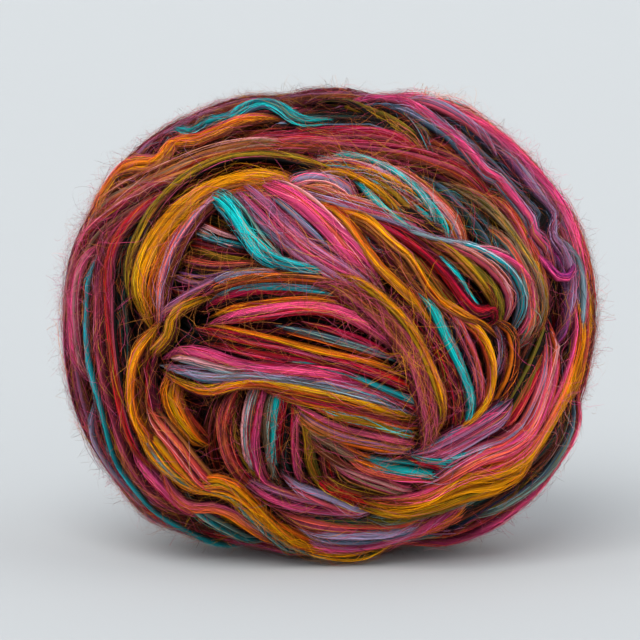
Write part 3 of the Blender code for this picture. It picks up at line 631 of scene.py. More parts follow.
LOOP = (
    Turn(8, 10, 4, "rose 2 brown 2 tan 1 rose 2 wine 1",
         ((-14, 16), (-2, 15.5), (8, 11.5), (17, 4), (25, -5), (31, -15), (35, -27), (37.5, -39),
          (35.5, -48), (29, -54))),
    Turn(3.4, 7, 6, "marigold 2 orange 1 mustard 1",
         ((-6, 19.5), (6, 18), (16, 12.5), (25, 4.5), (32, -4.5), (37, -15), (41, -26), (42.5, -36),
          (39, -46))),
    Turn(6.5, 9, 1, "black 1 crimson 2 wine 2 black 1 crimson 1",
         ((18, 15), (29, 7), (38, -4), (44, -17), (47, -30), (46, -41), (40, -49))),
    Turn(3, 7, 4, "slate 1 teal 7",
         ((29, 16), (37, 7), (42, -2), (47, -13), (51, -25), (51.5, -35), (47, -43))),
    Turn(5, 8, 1.5, "rose 1 coral 2 mauve 1 navy 1",
         ((32, 13), (43, 5), (49.5, -6), (54, -18), (55, -30), (51, -41))),
    Turn(3, 6, 3.5, "marigold 2 rust 1",
         ((42, 5), (51, 0), (57.5, -9), (59.5, -20), (57, -30), (50, -38), (43, -44))),
    Turn(6, 8, -2.5, "brown 1 rust 1 wine 2 black 2", ((54, 6), (61, -4), (64, -16), (61, -28), (55, -38))),
    Turn(4, 7, -1, "slate 1 mauve 1 black 1", ((58, 4), (62.5, -6), (62, -16), (58, -24))),
    Turn(3.6, 7, 0, "brown 1 black 1 orange 1", ((58, 4), (67, -3), (68, -15), (64, -27), (57, -38))),
)

LENS = (
    Turn(15, 12, 0.5, "mustard 2 black 1 coral 2 rose 2 pink 1 orange 2 mauve 1 tan 2 orange 2 taupe 1",
         ((-18, -28), (-8, -33.5), (3, -39), (14, -42), (24, -44.2), (32, -46), (38, -47))),
    Turn(9, 9, -1.5, "orange 1 brown 2 taupe 3 brown 2",
         ((-14, -32), (-5, -41), (5, -48), (16, -52.5), (28, -52.5), (38, -50))),
    Turn(5, 7, 1, "teal 1 mustard 2 brown 1", ((-10, -28.5), (2, -33), (15, -36), (26, -40), (35, -44))),
)

FAN = (
    Turn(6, 8, -6, "black 1 brown 2 rust 1 crimson 1",
         ((-34, -66), (-41, -58), (-44.5, -48), (-44.5, -38), (-41, -27), (-36, -19))),
    Turn(7, 9, -2.5, "brown 1 rose 2 coral 2 crimson 1 black 1",
         ((-22, -66), (-31, -58), (-36.5, -49), (-39, -39), (-37.3, -30), (-32, -19))),
    Turn(5, 8, -4, "black 1 brown 2 mustard 1 brown 1 black 1",
         ((-18, -66), (-26, -57.5), (-32, -48.8), (-35, -38.5), (-34.2, -29), (-30, -18))),
    Turn(5.5, 9, -2, "blush 1 sky 1 rose 1 mint 1 coral 1",
         ((-24, -60), (-29, -50), (-30.5, -40), (-29.3, -31), (-27, -23), (-24, -16))),
    Turn(3.6, 8, -2, "crimson 1 pink 2 rose 1",
         ((-20, -66), (-25, -57), (-27.4, -47), (-26.9, -36), (-25, -26), (-22, -16))),
    Turn(4, 8, -3, "taupe 2 mint 1 black 1",
         ((-15, -66), (-20.5, -57), (-22.8, -48.8), (-23.2, -38), (-21.7, -27), (-19, -17))),
    Turn(4, 8, -2.5, "teal 3 green 1", ((-20, -58), (-21, -48), (-20, -37), (-18.3, -26), (-16, -16))),
    Turn(2.6, 6, -3, "crimson 2 black 1",
         ((-18, -56), (-18.5, -46), (-17.5, -37), (-16.3, -26), (-14, -16))),
    Turn(4.5, 7, -4, "green 1 black 3",
         ((-9, -65), (-15, -57), (-16.5, -50), (-15.6, -40), (-14.4, -29), (-12, -18))),
    Turn(4.5, 8, -2, "crimson 1 pink 2 rose 2 black 1",
         ((-6, -66), (-10.7, -57), (-12, -48.5), (-12.2, -38), (-11.6, -29), (-9, -18))),
    Turn(3.4, 7, -3, "mustard 2 olive 1",
         ((0, -65), (-4.5, -57.5), (-7.2, -50.5), (-7.8, -41), (-8, -31), (-6, -20))),
    Turn(6, 8, -5, "brown 1 rose 1 brown 1 crimson 1 wine 1",
         ((6, -66), (-0.5, -57), (-2.5, -49), (-3.5, -40), (-3.5, -30), (-2, -20))),
)

# Dark turns deep inside the front face, which show in its hollows: their mostly black dyes are partly dark
# wool and partly painted shade of the hollows.
DEEP = (
    Turn(44, 10, -10, "black 3 wine 1 brown 1 black 4 crimson 1 black 2",
         ((-76, 26), (-40, 38), (0, 42), (44, 28), (76, 2))),
    Turn(44, 10, -10, "wine 1 black 4 brown 1 black 3 crimson 1 black 2",
         ((-78, -8), (-40, 8), (0, 8), (40, -6), (76, -30))),
    Turn(44, 10, -10, "black 3 brown 1 wine 2 black 3 brown 1",
         ((-74, -36), (-40, -30), (0, -34), (40, -44), (68, -56))),
    Turn(40, 10, -5, "wine 2 rose 1 black 2 brown 2 crimson 2 black 2",
         ((-92, -30), (-86, 20), (-60, 58), (-20, 76), (30, 72), (74, 44), (88, 0), (84, -40))),
    Turn(30, 10, -5, "brown 2 rose 1 black 2 wine 2 black 2",
         ((-84, -30), (-66, -60), (-34, -76), (0, -80), (36, -74), (70, -54), (86, -20))),
    Turn(13, 8, 0.2, "black 3 green 1 black 3 slate 1 black 1",
         ((-56, 70), (-42, 75), (-24, 77.5), (0, 76.5), (14, 77), (26, 73), (38, 65), (48, 56))),
    Turn(7, 8, 1.8, "black 3 wine 1 black 2", ((22, 22), (30, 15), (37, 7), (42, -3), (45, -13))),
    Turn(13, 9, 0, "black 3 green 1 black 2 olive 1 black 2 brown 1 black 1",
         ((84, 10), (79, -4), (74, -16), (68, -28), (60, -39))),
    Turn(26, 10, -5, "black 3 wine 1 brown 2 black 3",
         ((-64, -66), (-34, -79), (0, -83), (34, -79), (64, -66))),
    Turn(20, 10, -7, "black 3 wine 1 brown 1 black 2",
         ((-44, -66), (-62, -46), (-70, -16), (-69, 14), (-52, 48))),
    Turn(20, 10, -7, "black 2 brown 1 wine 1 black 3",
         ((40, -64), (66, -40), (72, -12), (70, 14), (52, 46))),
)

BACK = (
    Turn(28, 12, 0, "rose 3 crimson 3 black 2 marigold 4 olive 2 teal 2 mauve 3",
         ((-72, 22), (-52, 42), (-20, 53), (14, 52), (46, 40), (70, 18))),
    Turn(26, 12, 0, "lavender 3 pink 3 wine 3 coral 2 mustard 3 brown 3",
         ((-72, 4), (-42, 24), (-6, 34), (28, 30), (58, 12), (72, -10))),
    Turn(26, 12, -1, "teal 2 black 3 crimson 4 rose 3 tan 3 orange 2",
         ((-74, -16), (-42, 2), (-8, 12), (26, 8), (52, -10), (64, -34))),
    Turn(26, 12, 0, "marigold 4 orange 2 pink 3 mauve 3 slate 2 green 3",
         ((-66, -38), (-36, -20), (-6, -10), (22, -16), (46, -36))),
    Turn(26, 12, -1, "wine 3 rose 3 mint 2 taupe 2 black 2 scarlet 3",
         ((-52, -56), (-24, -40), (4, -32), (28, -42), (48, -60))),
    Turn(26, 12, -1, "brown 3 olive 3 marigold 3 teal 2 crimson 3", ((-34, -68), (-4, -54), (28, -66))),
    Turn(24, 13, 4.5, "rose 3 pink 3 lavender 3 teal 2 black 2 wine 3 marigold 3",
         ((-14, -87), (-40, -64), (-54, -34), (-56, -2), (-46, 28), (-24, 51), (4, 65), (32, 69)), (0.4,)),
    Turn(18, 12, 4, "mustard 2 marigold 4 tan 2 crimson 3 wine 2",
         ((44, 67), (65, 54), (77, 34), (71, 13), (55, -7), (38, -30), (26, -56), (28, -86)), (0.6,)),
)

RIM_FRONT = (
    Turn(34, 11, -4, "black 3 wine 3 brown 3 slate 2 black 3 rust 2", coil(-30, 380, 8, 14)),
    Turn(27, 11, -1, "rose 4 mauve 3 wine 2 teal 1 crimson 3 tan 3 marigold 2 brown 2 pink 2",
         coil(205, 960, -16, 24)),
    Turn(14, 9, -1.2, "pink 3 blush 1 pink 2 rose 2 coral 1 rose 2 wine 1", coil(-84, 84, -4, 3)),
    Turn(13, 9, -1.2, "taupe 2 brown 2 wine 1 tan 2 mauve 1 brown 1 rose 1", coil(64, 168, 3, -3)),
    Turn(14, 9, -1.2, "tan 1 rose 2 slate 1 mauve 2 pink 1 olive 1 rose 1", coil(148, 292, -4, 4)),
    Turn(28, 11, -2.5, "black 3 wine 2 brown 3 black 3 slate 1", coil(195, 350, -27, -23)),
)

RIM_BACK = (
    Turn(27, 12, 0.5, "teal 1 marigold 3 orange 2 crimson 3 black 1 lavender 2 pink 3 mauve 2 brown 1",
         coil(-120, 820, 26, 68)),
    Turn(18, 12, 2.8, "mauve 3 slate 1 coral 2 mustard 3 teal 1 rose 3 wine 1", coil(10, 190, 24, 56)),
    Turn(16, 12, 2.6, "crimson 3 wine 2 tan 2 marigold 2 pink 3 slate 1", coil(330, 200, 22, 52)),
)

PIECES = {
    "rim_front": Piece("rim", COARSE, 0.3, RIM_FRONT),
    "rim_back": Piece("rim", COARSE, 0.35, RIM_BACK),
    "back": Piece("back", COARSE, 0.35, BACK),
    "deep": Piece("front", COARSE, 0.1, DEEP),
    "ring_top": Piece("front", COMBED, 1.1, RING_TOP),
    "ring_left": Piece("front", COMBED, 1.15, RING_LEFT),
    "ring_low": Piece("front", COMBED, 1, RING_LOW),
    "ring_low_right": Piece("front", COMBED, 0.4, RING_LOW_RIGHT),
    "ring_right": Piece("front", COMBED, 1, RING_RIGHT),
    "upper_right": Piece("front", COMBED, 1, UPPER_RIGHT),
    "twist": Piece("front", COMBED, 1, TWIST),
    "pocket": Piece("front", COMBED, 0.7, POCKET),
    "arches": Piece("front", COMBED, 1, ARCHES),
    "loop": Piece("front", COMBED, 2.6, LOOP),
    "lens": Piece("front", COMBED, 1, LENS),
    "fan": Piece("front", COMBED, 1, FAN),
}
OVER_THE_RIM = ("rim_front", "rim_back")
RING = ("deep", "ring_top", "ring_left", "ring_low", "ring_low_right", "ring_right")
KNOT = ("upper_right", "twist", "pocket", "arches", "loop", "lens", "fan")

# The dyes of the haze over every turn, beside the turn's own, and of the loose hairs.
HAZE_DYES = "brown 4 tan 2 rose 2 wine 2 rust 2 mustard 1 black 2"
HAIR_DYES = "tan 5 brown 7 rose 3 rust 2 wine 2"
# The bed's mostly black dyes are partly dark wool and partly painted shade between the turns.
BED_DYES_AND_SHADE = "black 4 wine 2 brown 1 black 3 green 1 black 2"

# Where the wool is frizzy: the middle of each patch and its reach, (across, up) in millimetres, how far it
# lies above the skin, how many hairs it has and their dyes.
Frizz = namedtuple("Frizz", "middle reach lift count dyes")
FRIZZ = (
    Frizz((16, 5), (15, 14), 3, 110, "rose 4 tan 2 brown 3 wine 1"),
    Frizz((31, -9), (7, 12), 4.5, 90, "marigold 2 tan 3 rose 2 brown 2"),
    Frizz((36, -30), (7, 14), 4, 60, "rose 4 tan 2 brown 2"),
    Frizz((24, 64), (34, 8), 1.5, 150, "brown 3 tan 2 rose 2 wine 2"),
    Frizz((40, 83), (14, 2), 1, 110, "tan 3 orange 2 marigold 1 blush 1"),
    Frizz((46, 46), (16, 14), 1, 90, "brown 3 olive 2 black 2 tan 1"),
    Frizz((8, 51), (14, 9), 2.5, 70, "marigold 2 tan 2 brown 1 rose 1"),
    Frizz((-88, 8), (9, 46), 2, 190, "rose 3 wine 2 brown 3 pink 1 tan 1"),
    Frizz((-68, 52), (26, 14), 2.5, 130, "tan 3 rose 2 brown 2 mauve 1"),
    Frizz((-60, -8), (8, 14), 1.5, 40, "brown 3 rose 2 tan 2"),
    Frizz((-24, 15), (24, 8), 1, 90, "brown 4 tan 2 rose 1"),
    Frizz((-42, 30), (14, 14), -4, 60, "brown 3 tan 1 black 2"),
    Frizz((79, -25), (8, 14), 5, 50, "pink 2 coral 1 blush 2 tan 1"),
    Frizz((-30, -40), (18, 20), -2, 80, "brown 4 tan 2 rose 1"),
    Frizz((-50, -66), (24, 10), 2.5, 70, "tan 2 mustard 2 brown 2"),
    Frizz((20, -58), (26, 10), 1, 80, "rose 2 brown 3 tan 2"),
    Frizz((-100, 14), (3, 14), 1, 150, "rose 2 pink 1 mauve 2 tan 1 blush 1"),
    Frizz((-94, 46), (8, 10), 0.5, 150, "tan 2 rose 2 blush 1 mauve 1"),
    Frizz((-30, 92), (26, 3), 0, 110, "tan 3 brown 2 taupe 2"),
    Frizz((80, 62), (10, 12), 0.5, 130, "pink 2 rose 2 blush 1"),
    Frizz((103, -8), (3, 18), 0.5, 150, "blush 2 rose 2 coral 1 tan 1"),
    Frizz((-84, -62), (14, 12), 0, 110, "tan 2 slate 1 rose 2 mauve 1"),
    Frizz((76, -74), (14, 10), 0, 90, "rose 3 tan 1 mint 1"),
)

# The loose hairs and the frizz: the steps of each hair, how far it swings out of the winding's way, in
# radians, and its mean and greatest length.
Hair = namedtuple("Hair", "steps swing mean_length longest")
LONG_HAIR = Hair(14, 0.7, 22, 60)
SHORT_HAIR = Hair(6, 0.7, 8, 18)
FRIZZ_HAIR = Hair(12, 0.9, 16, 32)
SHORTEST_HAIR = 4
LENGTH_SPREAD = 3.0  # the shape of the lengths' gamma distribution
HAIR_RISE = (1.5, 1.4)  # the shape and scale of how high hairs rise above where they start
HIGHEST_HAIR = 7
HAIRS_SINK = 0.6  # how far under the skin the loose hairs start
ARCHED_HAIRS = 0.6  # share of the hairs that come back down, while the others stand off at their ends
STAND_OFF = 1.5  # the power of how those others rise
CURLS = 2.5  # in a hair of mean length
CURL_SHARE = 0.16  # how far a hair curls aside, as a share of its length
MOST_CURL = 4.0  # but never more than this
HAIR_DARKENING = 0.2  # how much the hairs are darkened, on the painted shade scale, where 1 is a deep hollow
HAIR_NARROWING = 6  # a hair comes to a point over its last sixth
FRIZZ_WIDTH = 1.2  # as a multiple of the other hairs' width
FRIZZ_SPREAD = 0.6  # how far its hairs scatter, as a share of the patch's reach

# One long hair that stands off the ball's foot, as (across, up), this far before the ball's middle.
STRAY_BEFORE = 6
STRAY_HAIR = ((20, -86), (38, -88), (58, -84), (74, -77), (84, -66), (90, -54), (92, -42))


# --- the ball's skin -------------------------------------------------------------------------------


def outline_share(across, up):
    """How far out (across, up) is, as a share of the way from the middle to the front outline."""
    squared = np.abs(across / HALF_WIDTH) ** SQUARENESS + np.abs(up / HALF_HEIGHT) ** SQUARENESS
    angle = np.degrees(np.arctan2(up, across))
    drawn = 1
    for middle, reach, share in UNEVEN:
        drawn = drawn + share * np.exp(-((((angle - middle + 180) % 360 - 180) / reach) ** 2))
    return squared ** (1 / SQUARENESS) * drawn


def onto_skin(points):
    """The places on the outer skin that lie straight out from the ball's middle through the points."""
    share = np.sqrt(outline_share(points[..., 0], points[..., 2]) ** 2 + (points[..., 1] / HALF_DEPTH) ** 2)
    return points / share[..., None]


def face_places(plan, toward):
    """The places on the skin that show at each (across, up); toward is -1 on the front, 1 on the back."""
    share = np.maximum(outline_share(plan[:, 0], plan[:, 1]), 1e-6)
    inward = np.minimum(1, RIM_SHARE / share)
    depth = HALF_DEPTH * np.sqrt(1 - (share * inward) ** 2)
    return np.stack([plan[:, 0] * inward, toward * depth, plan[:, 1] * inward], axis=1)


def rim_places(plan):
    """The places on the skin at each (degrees, depth) over the rim."""
    around = np.radians(plan[:, 0])
    across, up = HALF_WIDTH * np.cos(around), HALF_HEIGHT * np.sin(around)
    share = np.sqrt(1 - (plan[:, 1] / HALF_DEPTH) ** 2) / outline_share(across, up)
    return np.stack([across * share, plan[:, 1], up * share], axis=1)


def unit(vectors):
    """The vectors at length 1."""
    return vectors / np.maximum(np.linalg.norm(vectors, axis=-1, keepdims=True), 1e-9)


def outward_at(places):
    """Which way is straight out of the ball at the places."""
    return unit(places / SKIN**2)


def smooth_line(points, pieces):
    """A smooth curve through the points, with so many pieces between each two of them."""
    points = np.asarray(points, float)
    ends = np.vstack([2 * points[0] - points[1], points, 2 * points[-1] - points[-2]])
    t = np.linspace(0, 1, pieces, endpoint=False)[:, None]
    spans = [
        start
        + (end - before) * (t / 2)
        + (2 * before - 5 * start + 4 * end - after) * (t**2 / 2)
        + (3 * start - before - 3 * end + after) * (t**3 / 2)
        for before, start, end, after in zip(ends, ends[1:], ends[2:], ends[3:])
    ]
    return np.vstack([*spans, points[-1:]])


def evenly(line, step):
    """The same line with its points evenly spaced, and how far along it each of them is."""
    along = np.concatenate([[0], np.cumsum(np.linalg.norm(np.diff(line, axis=0), axis=1))])
    reach = np.linspace(0, along[-1], max(4, round(along[-1] / step) + 1))
    return np.stack([np.interp(reach, along, line[:, i]) for i in range(3)], axis=1), reach


def wander(rng, rows, reach, period):
    """Smooth random waves between -1 and 1, a row for each line, along the distances given by reach."""
    knots = rng.uniform(-1, 1, (rows, int(reach.max() / period) + 3))
    place = reach / period
    first = np.floor(place).astype(int)
    t = place - first
    t = t * t * (3 - 2 * t)
    if reach.ndim == 1:
        return knots[:, first] * (1 - t) + knots[:, first + 1] * t
    row = np.arange(rows)[:, None]
    return knots[row, first] * (1 - t) + knots[row, first + 1] * t


# --- turns, strands and fibres -----------------------------------------------------------------------

Route = namedtuple("Route", "reach places along outward taper thinning depth")
Strand = namedtuple("Strand", "reach middle aside outward half_width half_thick taper low high dye shade")


def turn_route(turn, where):
    """The middle of a turn's top, with its ends narrowed and its pinches drawn in."""
    plan = smooth_line(turn.path, pieces=24)
    if where == "rim":
        places = rim_places(plan)
    else:
        toward = -1 if where == "front" else 1
        lean = outward_at(face_places(plan, toward))[:, (0, 2)]
        places = face_places(plan - lean * turn.lift, toward)
    places, reach = evenly(places, PATH_STEP)
    along = unit(np.gradient(places, axis=0))
    share = reach / reach[-1]
    taper = np.clip(np.minimum(share, 1 - share) / min(TIP_SHARE, TIP_REACH / reach[-1]), 0, 1)
    taper = np.sin(taper * pi / 2)
    thinning = TIP_THINNING + (1 - TIP_THINNING) * taper
    under = TUCK if where == "front" else TUCK + max(turn.lift, 0)
    depth = under * (1 - taper)
    for pinch in turn.pinches:
        drawn = np.exp(-(((share - pinch) * reach[-1] / PINCH_REACH) ** 2))
        thinning = thinning * (1 - PINCH_DEPTH * drawn)
        depth = depth + PINCH_SINK * drawn
    return Route(reach, places, along, outward_at(places), taper, thinning, depth)


def stripes(dyes):
    """The numbers of the dyes of a list of stripes, and the stripes' edges as shares of their whole width."""
    words = dyes.split()
    numbers = np.array([DYES.index(word) for word in words[::2]])
    shares = np.array(words[1::2], float)
    return numbers, np.concatenate([[0], np.cumsum(shares)]) / shares.sum()


def dye_at(dyes, across):
    """The number of the dye at each place across a list of stripes."""
    numbers, edges = stripes(dyes)
    return numbers[np.searchsorted(edges[1:-1], across)]


def shade_of(turn):
    """The painted shade of a turn, darker for lying under the others."""
    return float(np.clip(-SHADE_PER_MM * (turn.lift - LIT_ABOVE), 0, DARKEST))


def turn_strands(turn, where, rng):
    """The strands of a turn, one for each dye stripe, with wide stripes split."""
    route = turn_route(turn, where)
    cuts = []
    dyes, edges = stripes(turn.dyes)
    for dye, low, high in zip(dyes, edges, edges[1:]):
        pieces = max(1, round((high - low) * turn.width / STRAND_WIDTH))
        each = (high - low) / pieces
        cuts += [(dye, low + each * i, low + each * (i + 1)) for i in range(pieces)]
    dyes, lows, highs = np.array(cuts).T
    offset = ((lows + highs) / 2 - 0.5) * turn.width * STRAND_SPAN
    shared = wander(rng, 1, route.reach, period=38) * turn.width * TURN_SWAY
    sway = np.minimum(MOST_SWAY, STRAND_SWAY * (highs - lows) * turn.width)
    own = wander(rng, len(cuts), route.reach, period=24) * sway[:, None]
    swell = 1 + STRAND_SWELL * wander(rng, len(cuts), route.reach, period=22)
    aside_by = (offset[:, None] + shared + own) * route.thinning
    half_width = np.clip((highs - lows) * turn.width * HALF_STRAND, *HALF_WIDTHS)
    half_thick = np.clip(half_width * ROUNDNESS, LEAST_HALF_THICK, turn.thick / 2)
    drop = CROWN * turn.thick * (2 * offset / turn.width) ** 2
    height = wander(rng, len(cuts), route.reach, period=20) * STRAND_RISE
    height = height + rng.uniform(*STRAND_LEVELS, len(cuts))[:, None]
    side = unit(np.cross(route.along, route.outward))
    made = []
    for i in range(len(cuts)):
        laid = onto_skin(route.places + side * aside_by[i][:, None])
        outward = outward_at(laid)
        thick = half_thick[i] * route.thinning
        sunk = turn.lift - drop[i] * route.thinning + height[i] - thick - route.depth
        middle = laid + outward * sunk[:, None]
        along = unit(np.gradient(middle, axis=0))
        aside = unit(np.cross(along, outward))
        width = half_width[i] * route.thinning * swell[i]
        made.append(Strand(route.reach, middle, aside, np.cross(aside, along), width, thick, route.taper,
                           lows[i], highs[i], int(dyes[i]), shade_of(turn)))
    return made


def haze_strand(turn, where):
    """The whole turn as one wide strand, for the haze of fine fibres over it."""
    route = turn_route(turn, where)
    half_thick = turn.thick / 2 * route.thinning
    middle = route.places + route.outward * (turn.lift - half_thick - route.depth)[:, None]
    aside = unit(np.cross(route.along, route.outward))
    return Strand(route.reach, middle, aside, route.outward, turn.width / 2 * route.thinning, half_thick,
                  route.taper, 0.0, 1.0, 0, shade_of(turn))


class Cover:
    """How far out the winding reaches in each direction from the ball's middle."""

    def __init__(self):
        self.height = np.zeros((2 * DIRECTION_CELLS + 1,) * 3)

    def cells(self, points):
        """The cells of the map that the points lie in."""
        cells = np.round(unit(points) * DIRECTION_CELLS).astype(int) + DIRECTION_CELLS
        return tuple(np.moveaxis(cells, -1, 0))

    def lay(self, strand):
        """Counts in the strand's outer side."""
        for lean in COVER_LEANS:
            rise = strand.half_thick * cos(lean)
            points = strand.middle + strand.aside * (strand.half_width * sin(lean))[:, None]
            points = points + strand.outward * rise[:, None]
            np.maximum.at(self.height, self.cells(points), np.linalg.norm(points, axis=1))

    def hides(self, points):
        """Which of the lines, (lines, steps, 3), lie buried along nearly all their length."""
        over = self.height[self.cells(points)] - np.linalg.norm(points, axis=-1)
        return (over > BURIED).mean(axis=1) > BURIED_SHARE


def whole_cover(wool):
    """The reach of the whole winding, from the same strands that the turns are made of."""
    cover = Cover()
    for salt, piece in enumerate(PIECES.values()):
        for i, turn in enumerate(piece.turns):
            for strand in turn_strands(turn, piece.where, np.random.default_rng([wool.seed, salt, i])):
                cover.lay(strand)
    return cover


class MeshParts:
    """Vertices, four-sided faces, UVs, dyes and painted shade gathered for one mesh, in millimetres."""

    def __init__(self):
        self.count = 0
        self.vertices, self.faces, self.wool, self.bake, self.dye, self.depth = [], [], [], [], [], []
        self.ribbons = []

    def add(self, vertices, faces, wool, bake, dye, depth):
        """wool and bake are a UV for each corner of each face, dye a number for each face, and depth a number
        for each vertex: the painted shade there, where 1 is as dark as a deep hollow."""
        self.depth.append(np.broadcast_to(depth, vertices.shape[:-1]).ravel())
        self.dye.append(np.broadcast_to(dye, faces.shape[:-1]).ravel())
        self.vertices.append(vertices.reshape(-1, 3))
        self.faces.append(faces.reshape(-1, 4) + self.count)
        self.wool.append(wool.reshape(-1, 2))
        self.bake.append(bake.reshape(-1, 2))
        self.count += len(self.vertices[-1])

    def add_ribbons(self, edges, along, across, dye, depth):
        """Ribbons whose two edges are (ribbons, steps, 2, 3), laid out on the bake map at the end."""
        self.ribbons.append((edges, along, across, dye, depth))

    def lay_out_ribbons(self):
        """Adds the ribbons, each with a cell of its own on the bake map."""
        rows = -(-sum(len(ribbons[0]) for ribbons in self.ribbons) // BAKE_COLUMNS)
        given = 0
        for edges, along, across, dye, depth in self.ribbons:
            count, steps = edges.shape[:2]
            single = grid_faces(steps, 2, closed=False)[:, 0]
            faces = single[None] + (np.arange(count) * steps * 2)[:, None, None]
            number = np.arange(given, given + count)
            given += count
            self.add(edges, faces, *ribbon_uvs(along, across, number, rows), dye[:, None], depth[..., None])

    def to_object(self, name, material):
        """The mesh as an object in the ball's stance, in metres."""
        self.lay_out_ribbons()
        mesh = bpy.data.meshes.new(name)
        mesh.from_pydata(stand(np.concatenate(self.vertices)), [], np.concatenate(self.faces))
        for layer, parts in (("Wool", self.wool), ("OFBake", self.bake)):
            uvs = mesh.uv_layers.new(name=layer)
            uvs.uv.foreach_set("vector", np.concatenate(parts).astype(np.float32).ravel())
        # the painted shade of hollows, strand sides and tucked tips, which the wool material darkens its
        # colour by
        depth = mesh.attributes.new("Depth", "FLOAT", "POINT")
        depth.data.foreach_set("value", np.concatenate(self.depth).astype(np.float32))
        dye = mesh.attributes.new("Dye", "FLOAT", "FACE")
        dye.data.foreach_set("value", ((np.concatenate(self.dye) + 0.5) / len(DYES)).astype(np.float32))
        mesh.polygons.foreach_set("use_smooth", np.ones(len(mesh.polygons), bool))
        mesh.materials.append(material)
        made = bpy.data.objects.new(name, mesh)
        bpy.context.scene.collection.objects.link(made)
        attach(made, BODY)
        return made


def stand(points):
    """The points tipped into the ball's stance, in metres, with what is under the floor pressed flat."""
    turned = points @ np.array(Matrix.Rotation(-FACE_TILT, 3, "X")).T
    turned[:, 2] = np.maximum(turned[:, 2] + CENTRE_Z, FLOOR_CLEARANCE)
    return turned * MM


def grid_faces(rows, columns, closed):
    """The corner numbers of the faces of a grid of vertices, whose rows close on themselves if asked."""
    row = np.arange(rows - 1)[:, None] * columns
    column = np.arange(columns if closed else columns - 1)[None, :]
    after = (column + 1) % columns
    return np.stack([row + column, row + after, row + columns + after, row + columns + column], axis=-1)


def grid_uvs(u, v):
    """The UVs of the corners of a grid's faces, from those of its lines and columns."""
    here, there = (np.broadcast_to(line[:, None], (len(u) - 1, len(v) - 1)) for line in (u[:-1], u[1:]))
    low, high = (np.broadcast_to(line[None, :], here.shape) for line in (v[:-1], v[1:]))
    return np.stack([here, low, here, high, there, high, there, low], axis=-1)


def add_body(parts, strand, turn, number, slot, slots):
    """The strand's soft body: a tube whose section is an ellipse, with painted shade down its sides and at
    its tips.
    """
    reach = strand.reach
    keep = np.linspace(0, len(reach) - 1, max(4, round(reach[-1] / BODY_STEP)))
    keep = np.unique(keep.round().astype(int))
    angle = np.linspace(0, 2 * pi, BODY_SIDES + 1)
    around = angle[:-1]
    across = BODY_SHARE * strand.half_width[keep, None, None] * np.sin(around)[None, :, None]
    upward = BODY_SHARE * strand.half_thick[keep, None, None] * np.cos(around)[None, :, None]
    rings = strand.middle[keep, None] + strand.aside[keep, None] * across
    rings = rings + strand.outward[keep, None] * upward
    share = strand.low + (strand.high - strand.low) * (0.5 + 0.5 * np.sin(angle))
    wool = grid_uvs(reach[keep] / WOOL_UNIT, number + share * turn.width / WOOL_UNIT)
    ends, edges = BODY_CELL
    low, high = ((slot + edge) / slots * BODIES_BAKE for edge in edges)
    bake = grid_uvs(np.linspace(*ends, len(keep)), np.linspace(low, high, BODY_SIDES + 1))
    # painted shade: darker under the fibres, down the sides and underneath, at the tucked tips and on low
    # turns
    deep = BODY_PAINTED_SHADE + (1 - BODY_PAINTED_SHADE) * (1 - np.cos(around))[None]
    deep = deep + TIP_PAINTED_SHADE * (1 - strand.taper[keep, None])
    deep = np.clip(deep + strand.shade, 0, 1)
    parts.add(rings, grid_faces(len(keep), BODY_SIDES, closed=True), wool, bake, strand.dye, deep)


def fibre_count(strand, cover, lay, wool):
    """How many fibres cover the outer side of the strand so many times."""
    arc = ARC_FACTOR * np.sqrt(strand.half_width.mean() ** 2 / 2 + strand.half_thick.mean() ** 2 / 2)
    fibre = wool.fibre_length * lay.length * wool.fibre_width * lay.width / MM**2
    return int(cover * arc * strand.reach[-1] / fibre)


